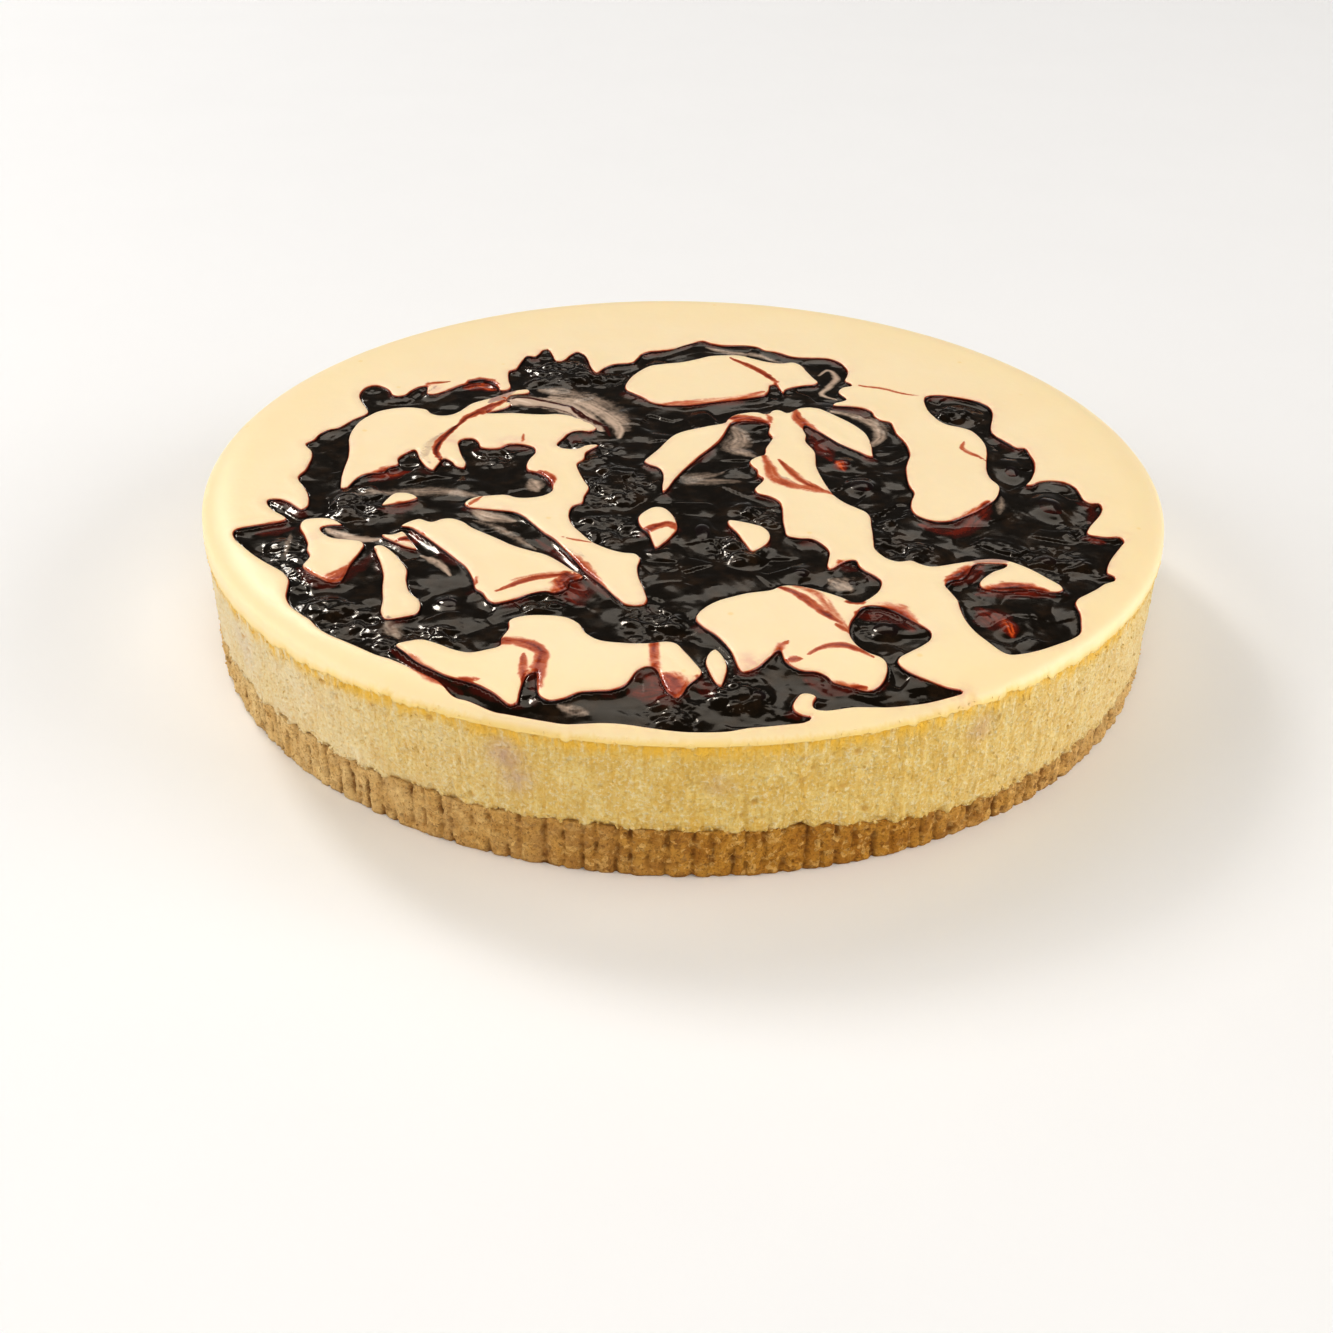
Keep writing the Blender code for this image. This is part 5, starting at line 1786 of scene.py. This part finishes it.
@dataclass
class CompotePool:
    """The wet compote: mounds of crushed fruit, wrinkles and menisci, as one closed shell."""

    frame: Frame
    fruits: Sequence[Fruit]
    spacing: float = 0.53
    floor_gap: float = 0.3
    level_grid: float = 2.0
    risen: float = 0.66
    blur: float = 2.2
    flow_turn: float = math.radians(-52.0)
    fold_size: tuple[float, float] = (11.0, 3.0)
    grain: Grain = field(default_factory=lambda: Grain(51))
    pulp_grain: Grain = field(default_factory=lambda: Grain(52))

    def __post_init__(self) -> None:
        """Work out the floor's height and the map of the level."""
        self.floor = self.frame.floor + self.floor_gap
        self.level_map = self._level_map()

    def _level_map(self) -> np.ndarray:
        """Smooth map of the compote's level, from the points of the solid's top."""
        half = self.frame.form.radius
        axis = np.arange(-half, half + self.level_grid, self.level_grid)
        gx, gy = np.meshgrid(axis, axis)
        known = self.frame.level_points
        below = self.frame.form.baked_top(known[:, :2]) - known[:, 2]
        total = np.zeros(gx.shape)
        weight = np.full(gx.shape, 1e-9)
        for (x, y, _), value in zip(known, below):
            near = np.exp(-((gx - x) ** 2 + (gy - y) ** 2) / (2.0 * self.blur**2))
            total += near * value
            weight += near
        return total / weight

    def level(self, places: np.ndarray) -> np.ndarray:
        """How far the solid's compote lies below the cream's top at plan points."""
        return read_map(self.level_map, (places + self.frame.form.radius) / self.level_grid)

    def pulp(self, places: np.ndarray) -> np.ndarray:
        """Where crushed fruit lies close under the glaze, 0 to 1."""
        uneven = 0.35 * self.grain.layered(flat_points(places) + 7.0, 9.0, 2)
        return smoothstep(0.1, 0.55, total_of(PULP, places) + uneven)

    def edge(self, places: np.ndarray) -> tuple[np.ndarray, np.ndarray, np.ndarray]:
        """How the compote thins out towards the cream.

        Args:
            places: Plan points, x and y.

        Returns:
            The distance to the lip, how wide the compote thins there, and how far the lip faces the front.
        """
        flat = flat_points(places)
        distance = np.maximum(-self.frame.pool.at(places), 0.0)
        front = smoothstep(-0.3, 0.75, self.frame.pool.facing(places))
        uneven = np.clip(0.55 + 0.75 * self.grain.soft(flat + 31.0, 9.0), 0.05, 1.2)
        return distance, 0.35 + (0.3 + 2.6 * front) * uneven, front

    def height(self, places: np.ndarray) -> np.ndarray:
        """Height of the compote's surface at plan points.

        Args:
            places: Plan points, x and y.

        Returns:
            The solid's level with waves, lumps, folds along the flow and the creep up walls and fruits.
        """
        flat = flat_points(places)
        pulp = self.pulp(places)
        warp = np.column_stack([self.grain.soft(flat, 5.0), self.grain.soft(flat + 40.0, 5.0), 0.0 * pulp])
        lumps, _ = self.pulp_grain.lumps(flat + 1.2 * warp, 3.8)
        small, _ = self.pulp_grain.lumps(flat + 0.7 * warp + 21.0, 1.8)
        berries, whole = self.pulp_grain.lumps(flat + 55.0, 9.0)
        swirl = flat + 7.0 * np.column_stack([
            self.grain.soft(flat + 70.0, 22.0), self.grain.soft(flat + 90.0, 22.0), 0.0 * pulp,
        ])
        flow = flat_points(turned_back(swirl, self.flow_turn) / np.array(self.fold_size))
        folds = 1.0 - 2.0 * np.abs(self.grain.layered(flow, 1.0, 2, 0.45))
        relief = 0.36 * self.grain.layered(flat, 13.0, 2, 0.15)
        relief += pulp * (1.15 * (lumps - 0.5) + 0.4 * (small - 0.5)) + 0.022 * folds
        relief += (0.4 + 0.6 * pulp) * (0.95 * smoothstep(0.35, 0.95, berries) * (whole > 0.45) - 0.3)
        distance, width, front = self.edge(places)
        away = smoothstep(0.0, 2.2, distance)
        creep = (0.25 + 0.45 * front) * np.exp(-distance / (0.6 + 0.7 * width))
        level = -self.risen * self.level(places) + relief * (0.3 + 0.7 * away) + creep
        for fruit in self.fruits:
            level = fruit.wrap(places, level, self.frame.form)
        return self.frame.form.baked_top(places) + np.minimum(level, -0.3 + 0.12 * relief)

    def build(self, material: bpy.types.Material) -> bpy.types.Object:
        """Make the pool.

        Args:
            material: The compote's finish.

        Returns:
            The piece.
        """
        pool = self.frame.pool
        outlines = self.frame.outlines
        grid = hexagon_grid(self.spacing, self.frame.form.radius)
        grid = grid[pool.at(grid) < -0.4]
        surface = Surface()
        surface.cap(outlines, grid, self.height, lambda middles: ~pool.cream(middles))
        for outline in outlines:
            top = np.column_stack([outline, self.height(outline)])
            bottom = np.column_stack([outline, np.full(len(outline), self.floor)])
            surface.strip(bottom, top)
        surface.cap(outlines, np.zeros((0, 2)), lambda p: np.full(len(p), self.floor),
                    lambda middles: ~pool.cream(middles))
        piece = surface.build("compote_pool", material)
        plan = vertices_of(piece)[:, :2]
        distance, width, front = self.edge(plan)
        patchy = smoothstep(-0.25, 0.45, self.grain.soft(flat_points(plan) + 47.0, 8.0))
        thin = (0.04 + 0.5 * front * patchy) * np.exp(-((distance / width) ** 2))
        store(piece, "red", np.maximum(thin, film_at(STROKES, Film.RED, plan)))
        # Milky streaks on the pool, partly painted sheen.
        store(piece, "milk_and_sheen", film_at(STROKES, Film.MILK_AND_SHEEN, plan))
        store(piece, "pulp", self.pulp(plan))
        return piece


@dataclass
class Fruit:
    """One whole fruit, read from its solid in the frame."""

    name: str
    middle: np.ndarray
    half: np.ndarray
    turn: float
    sides: int = 56
    rings: int = 28
    blend: float = 0.7

    @classmethod
    def from_node(cls, node: bpy.types.Object) -> "Fruit":
        """Read a fruit's place, half sizes and turn from the frame.

        Args:
            node: The fruit's solid.

        Returns:
            The fruit.
        """
        copy, places = merged_points(node)
        copy.free()
        middle = 0.5 * (places.min(axis=0) + places.max(axis=0))
        plan = places[:, :2] - middle[:2]
        _, axes = np.linalg.eigh(np.cov(plan.T))
        long_axis = axes[:, 1]
        turn = math.atan2(long_axis[1], long_axis[0])
        across = np.array([-long_axis[1], long_axis[0]])
        half = np.array([
            np.abs(plan @ long_axis).max(), np.abs(plan @ across).max(), 0.5 * np.ptp(places[:, 2]),
        ])
        return cls(name=node.name, middle=middle, half=half, turn=turn)

    def _own(self, places: np.ndarray) -> np.ndarray:
        """Plan points in the fruit's own axes, as shares of its half sizes."""
        return turned_back(places - self.middle[:2], self.turn) / self.half[:2]

    def wrap(self, places: np.ndarray, level: np.ndarray, form: CakeForm) -> np.ndarray:
        """Let the compote climb over the fruit's flanks.

        Args:
            places: Plan points, x and y.
            level: The compote's level without the fruit, against the baked top.
            form: The cake's form.

        Returns:
            The level with the fruit's glaze.
        """
        reach = np.hypot(*self._own(places).T)
        near = np.flatnonzero(reach < 1.6)
        share = reach[near]
        dome = self.middle[2] + self.half[2] * np.sqrt(np.clip(1.0 - share * share, 0.0, 1.0))
        flank = dome - form.baked_top(places[near]) - 0.12 - 0.35 * smoothstep(0.8, 0.3, share)
        gap = level[near] - flank
        wrapped = level.copy()
        wrapped[near] = 0.5 * (level[near] + flank + np.sqrt(gap * gap + self.blend**2))
        return wrapped

    def build(self, material: bpy.types.Material) -> bpy.types.Object:
        """Make the fruit: a glazed ball with a soft skin that is not quite even.

        Args:
            material: The fruit's finish.

        Returns:
            The piece.
        """
        mesh = bpy.data.meshes.new(self.name + "_skin")
        ball = bmesh.new()
        bmesh.ops.create_uvsphere(ball, u_segments=self.sides, v_segments=self.rings, radius=1.0)
        ball.to_mesh(mesh)
        ball.free()
        unit = np.array([vert.co[:] for vert in mesh.vertices])
        grain = Grain(60 + int(self.name[-2:]))
        dent = 0.03 * grain.soft(unit, 0.9) + 0.014 * grain.soft(unit, 0.35) - 0.03
        shaped = unit * (1.0 + dent)[:, None] * self.half
        turned = np.column_stack([turned_back(shaped, -self.turn), shaped[:, 2]])
        mesh.vertices.foreach_set("co", ((turned + self.middle) * MM).astype(np.float32).ravel())
        mesh.update()
        piece = link_mesh(self.name + "_skin", mesh, material)
        count = len(mesh.vertices)
        glow = film_at(STROKES, Film.RED, (turned + self.middle)[:, :2])
        store(piece, "red", np.maximum(glow, 0.3 * smoothstep(0.2, 0.6, grain.soft(unit, 0.8))))
        store(piece, "milk_and_sheen", np.zeros(count))
        store(piece, "pulp", np.full(count, 0.25))
        return piece


UNEVENNESS = 0.9 * MM
FULL_TURN = 6.283


def socket_of(sockets: Sequence[bpy.types.NodeSocket], label: str) -> bpy.types.NodeSocket:
    """The socket with an identifier, or else the first with that name."""
    return next((socket for socket in sockets if socket.identifier == label), None) or sockets[label]


@dataclass(frozen=True)
class Scatter:
    """Small bits of one kind that Geometry Nodes strew over a surface, beyond a reach from the cake's axis."""

    name: str
    seed: int
    size: float
    per_square_metre: float
    flatness: float
    smallest: float = 0.5
    reach: float = 116.5

    def tree(self) -> bpy.types.GeometryNodeTree:
        """Build the node tree.

        Returns:
            A tree that puts uneven lumps on the faces that it is given, with named inputs.
        """
        tree = bpy.data.node_groups.new(self.name + "_strewing", "GeometryNodeTree")
        face = tree.interface
        face.new_socket("Surface", in_out="INPUT", socket_type="NodeSocketGeometry")
        for label, kind in (("Bit Size", "NodeSocketFloat"), ("Per Square Metre", "NodeSocketFloat"),
                            ("Flatness", "NodeSocketFloat"), ("Smallest", "NodeSocketFloat"),
                            ("Seed", "NodeSocketInt"), ("Finish", "NodeSocketMaterial")):
            face.new_socket(label, in_out="INPUT", socket_type=kind)
        face.new_socket("Bits", in_out="OUTPUT", socket_type="NodeSocketGeometry")
        nodes = tree.nodes
        start = nodes.new("NodeGroupInput")
        end = nodes.new("NodeGroupOutput")
        spread = nodes.new("GeometryNodeDistributePointsOnFaces")
        lump = nodes.new("GeometryNodeMeshIcoSphere")
        lump.inputs["Subdivisions"].default_value = 2
        uneven = nodes.new("ShaderNodeTexNoise")
        uneven.inputs["Scale"].default_value = 900.0
        push = nodes.new("ShaderNodeVectorMath")
        push.operation = "MULTIPLY_ADD"
        push.inputs[1].default_value = (UNEVENNESS,) * 3
        push.inputs[2].default_value = (-0.5 * UNEVENNESS,) * 3
        shape = nodes.new("GeometryNodeSetPosition")
        place = nodes.new("GeometryNodeInstanceOnPoints")
        turn = nodes.new("FunctionNodeRandomValue")
        turn.data_type = "FLOAT_VECTOR"
        turn.inputs["Max"].default_value = (FULL_TURN,) * 3
        grow = nodes.new("FunctionNodeRandomValue")
        flat = nodes.new("ShaderNodeCombineXYZ")
        squash = nodes.new("ShaderNodeVectorMath")
        squash.operation = "SCALE"
        flat.inputs["X"].default_value = 1.0
        flat.inputs["Y"].default_value = 1.0
        real = nodes.new("GeometryNodeRealizeInstances")
        dress = nodes.new("GeometryNodeSetMaterial")
        for source, out, target, into in (
            (start, "Surface", spread, "Mesh"), (start, "Per Square Metre", spread, "Density"),
            (start, "Seed", spread, "Seed"), (start, "Seed", turn, "Seed"), (start, "Seed", grow, "Seed"),
            (start, "Bit Size", lump, "Radius"), (lump, "Mesh", shape, "Geometry"),
            (uneven, "Color", push, "Vector"), (push, "Vector", shape, "Offset"),
            (spread, "Points", place, "Points"),
            (shape, "Geometry", place, "Instance"), (turn, "Value", place, "Rotation"),
            (start, "Smallest", grow, "Min_001"), (start, "Flatness", flat, "Z"),
            (flat, "Vector", squash, "Vector"), (grow, "Value_001", squash, "Scale"),
            (squash, "Vector", place, "Scale"),
            (place, "Instances", real, "Geometry"), (real, "Geometry", dress, "Geometry"),
            (start, "Finish", dress, "Material"), (dress, "Geometry", end, "Bits"),
        ):
            tree.links.new(socket_of(source.outputs, out), socket_of(target.inputs, into))
        return tree

    def strew(self, surface: bpy.types.Object, wanted: Callable[[np.ndarray, np.ndarray], np.ndarray],
              material: bpy.types.Material) -> bpy.types.Object:
        """Strew the bits over part of a piece.

        Args:
            surface: The piece that they lie on.
            wanted: Tells which faces carry bits, from the heights and places of their middles in millimetres.
            material: The bits' finish.

        Returns:
            The bits as one plain mesh.
        """
        ground = surface.data.copy()
        shell = bmesh.new()
        shell.from_mesh(ground)
        middles = np.array([face.calc_center_median()[:] for face in shell.faces]) / MM
        bare = ~((reach_of(middles) > self.reach) & wanted(middles[:, 2], middles))
        unwanted = [face for face, out in zip(shell.faces[:], bare) if out]
        bmesh.ops.delete(shell, geom=unwanted, context="FACES")
        shell.to_mesh(ground)
        shell.free()
        carrier = bpy.data.objects.new(self.name + "_ground", ground)
        bpy.context.scene.collection.objects.link(carrier)
        modifier = carrier.modifiers.new("strewing", "NODES")
        modifier.node_group = self.tree()
        values = {"Bit Size": self.size * MM, "Per Square Metre": self.per_square_metre,
                  "Flatness": self.flatness, "Smallest": self.smallest, "Seed": self.seed, "Finish": material}
        for item in modifier.node_group.interface.items_tree:
            if item.name in values:
                modifier[item.identifier] = values[item.name]
        graph = bpy.context.evaluated_depsgraph_get()
        made = bpy.data.meshes.new_from_object(carrier.evaluated_get(graph), depsgraph=graph)
        bpy.data.objects.remove(carrier, do_unlink=True)
        made.name = self.name
        piece = link_mesh(self.name, made, material)
        log.info("%s: %d triangles", self.name, len(made.polygons))
        return piece


class Studio:
    """A pale floor, large soft lights and the camera."""

    def __init__(self) -> None:
        """Keep the sizes."""
        self.camera_distance = 456.235
        self.elevation = 30.0
        self.yaw = -0.0074
        self.pitch = 0.0436
        self.roll = -0.0196
        self.focal_pixels = 1707.6
        self.frame_pixels = 1333.0
        self.sensor = 36.0
        self.contrast = 0.8
        self.floor_radius = 3.2
        self.room = (0.0, 0.26, 0.75, 0.09)

    def build(self) -> None:
        """Make the floor, the lights, the world and the camera."""
        self._floor()
        self._light("left_box", (-3.4, -0.2, 1.5), (4.0, 2.8), 79.0, (1.0, 0.985, 0.97))
        self._light("back_box", (-0.5, 2.76, 2.9), (3.6, 1.4), 32.0, (1.0, 0.98, 0.94))
        self._light("window", (-1.7, 2.5, 2.3), (0.6, 0.9), 36.0, (1.0, 0.995, 0.98))
        self._light("right_box", (3.2, -0.3, 1.3), (2.8, 2.0), 70.0, (1.0, 0.992, 0.985))
        self._light("front_fill", (0.3, -2.5, 2.5), (2.8, 2.0), 64.0, (1.0, 0.95, 0.87))
        self._world()
        view = bpy.context.scene.view_settings
        view.view_transform = "Standard"
        view.gamma = self.contrast
        self._camera()

    def _world(self) -> None:
        """Make the world: a pale room that is dim overhead and bright around the horizon."""
        world = bpy.data.worlds.new("studio")
        bpy.context.scene.world = world
        world.use_nodes = True
        nodes, links = world.node_tree.nodes, world.node_tree.links
        background = nodes["Background"]
        background.inputs["Color"].default_value = (1.0, 0.985, 0.965, 1.0)
        direction = nodes.new("ShaderNodeTexCoord")
        parts = nodes.new("ShaderNodeSeparateXYZ")
        fade = nodes.new("ShaderNodeMapRange")
        fade.interpolation_type = "SMOOTHSTEP"
        for label, value in zip(("From Min", "From Max", "To Min", "To Max"), self.room):
            fade.inputs[label].default_value = value
        links.new(direction.outputs["Generated"], parts.inputs["Vector"])
        links.new(parts.outputs["Z"], fade.inputs["Value"])
        links.new(fade.outputs["Result"], background.inputs["Strength"])

    def _floor(self) -> None:
        """Make the floor, a wide disc."""
        shape = bmesh.new()
        bmesh.ops.create_circle(shape, cap_ends=True, cap_tris=False, segments=96, radius=self.floor_radius)
        mesh = bpy.data.meshes.new("floor")
        shape.to_mesh(mesh)
        shape.free()
        tree = Tree("pale_floor")
        shade = tree.mix(tree.noise(60.0, 2.0), srgb(247, 247, 248), srgb(245, 245, 246))
        tree.dress(shade, 0.6, None)
        floor = link_mesh("floor", mesh, tree.material)

    def _light(self, name: str, place: Colour, size: tuple[float, float], power: float,
               colour: Colour) -> None:
        """Make one soft light that faces the cake.

        Args:
            name: Its name.
            place: Where it stands, in metres.
            size: Its width and height, in metres.
            power: Its power, in watts.
            colour: Its colour.
        """
        data = bpy.data.lights.new(name, "AREA")
        data.shape = "RECTANGLE"
        data.size, data.size_y = size
        data.energy = power
        data.color = colour
        lamp = bpy.data.objects.new(name, data)
        bpy.context.scene.collection.objects.link(lamp)
        lamp.location = place
        lamp.rotation_euler = (Vector((0.0, 0.0, 0.03)) - Vector(place)).to_track_quat("-Z", "Y").to_euler()

    def _camera(self) -> None:
        """Make the camera at the photograph's angle."""
        angle = math.radians(self.elevation)
        eye = Vector((0.0, -math.cos(angle), math.sin(angle))) * self.camera_distance * MM
        forward = -eye.normalized()
        right = Vector((1.0, 0.0, 0.0))
        up = right.cross(forward)
        upright = Matrix((right, up, -forward))
        turned = (Matrix.Rotation(self.roll, 3, "Z") @ Matrix.Rotation(self.pitch, 3, "X")
                  @ Matrix.Rotation(self.yaw, 3, "Y"))
        pose = (turned @ upright).transposed().to_4x4()
        pose.translation = eye
        data = bpy.data.cameras.new("camera")
        data.sensor_width = self.sensor
        data.lens = self.sensor * self.focal_pixels / self.frame_pixels
        data.clip_start = 0.01
        data.clip_end = 50.0
        camera = bpy.data.objects.new("camera", data)
        bpy.context.scene.collection.objects.link(camera)
        camera.matrix_world = pose
        bpy.context.scene.camera = camera


def hand_in(piece: bpy.types.Object, slot: Slot, *nodes: str) -> None:
    """Let a piece ride on the cake and stand for its solids.

    Args:
        piece: The finished object.
        slot: The record's material slot; not used.
        *nodes: Names of the solids that it replaces.
    """
    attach(piece, BODY)
    if nodes:
        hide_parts(*nodes)
    log.info("piece %s stands for %s", piece.name, ", ".join(nodes) or "nothing")


def main() -> None:
    """Build the studio and every piece of the cake."""
    logging.basicConfig(level=logging.INFO, format="%(name)s: %(message)s")
    for old in list(bpy.data.objects):
        bpy.data.objects.remove(old, do_unlink=True)
    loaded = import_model()
    Studio().build()
    nodes = loaded["nodes"]
    frame = FrameReader(nodes).read()

    cream = CreamFinish().material()
    crumb = FillingCrumbFinish().material()
    biscuit = BiscuitFinish().material()
    glaze = CompoteFinish().material()
    fruit_skin = CompoteFinish(name="fruit_skin", dark=(0.012, 0.005, 0.005)).material()

    skin = CreamSkin(frame)
    cream_skin = skin.build(cream)
    hand_in(cream_skin, Slot.CREAM, Node.FILLING.value)
    side = FillingSide(frame, skin).build(crumb)
    hand_in(side, Slot.CREAM, Node.FILLING.value)
    base = BiscuitBase(frame).build(biscuit)
    hand_in(base, Slot.CRUMB, Node.BASE.value)
    fruits = [Fruit.from_node(nodes[name]) for name in sorted(nodes) if name.startswith("fruit_")]
    hand_in(CompotePool(frame, fruits).build(glaze), Slot.GLAZE, Node.COMPOTE.value)
    for fruit in fruits:
        hand_in(fruit.build(fruit_skin), Slot.SKIN, fruit.name)

    lip = skin.lip_heights(EDGE_ANGLES)
    joint = frame.base_heights(EDGE_ANGLES)
    for bits, ground, wanted, finish, slot in (
        (Scatter("biscuit_crumbs", 3, 0.42, 260000.0, 0.7), base, lambda z, p: z > 0.8, biscuit, Slot.CRUMB),
        (Scatter("filling_curds", 4, 0.4, 60000.0, 0.7), side, lambda z, p: z < edge_at(lip, p) - 0.5, crumb,
         Slot.CREAM),
        (Scatter("skin_flakes", 5, 0.38, 420000.0, 0.35, reach=119.3), cream_skin,
         lambda z, p: z < edge_at(lip, p) + 0.9, cream, Slot.CREAM),
        (Scatter("loose_curds", 6, 0.5, 420000.0, 0.8), side, lambda z, p: z < edge_at(joint, p) + 0.9, crumb,
         Slot.CREAM),
    ):
        hand_in(keep_within(bits.strew(ground, wanted, finish), frame.form.radius), slot)


if __name__ == "__main__":
    main()
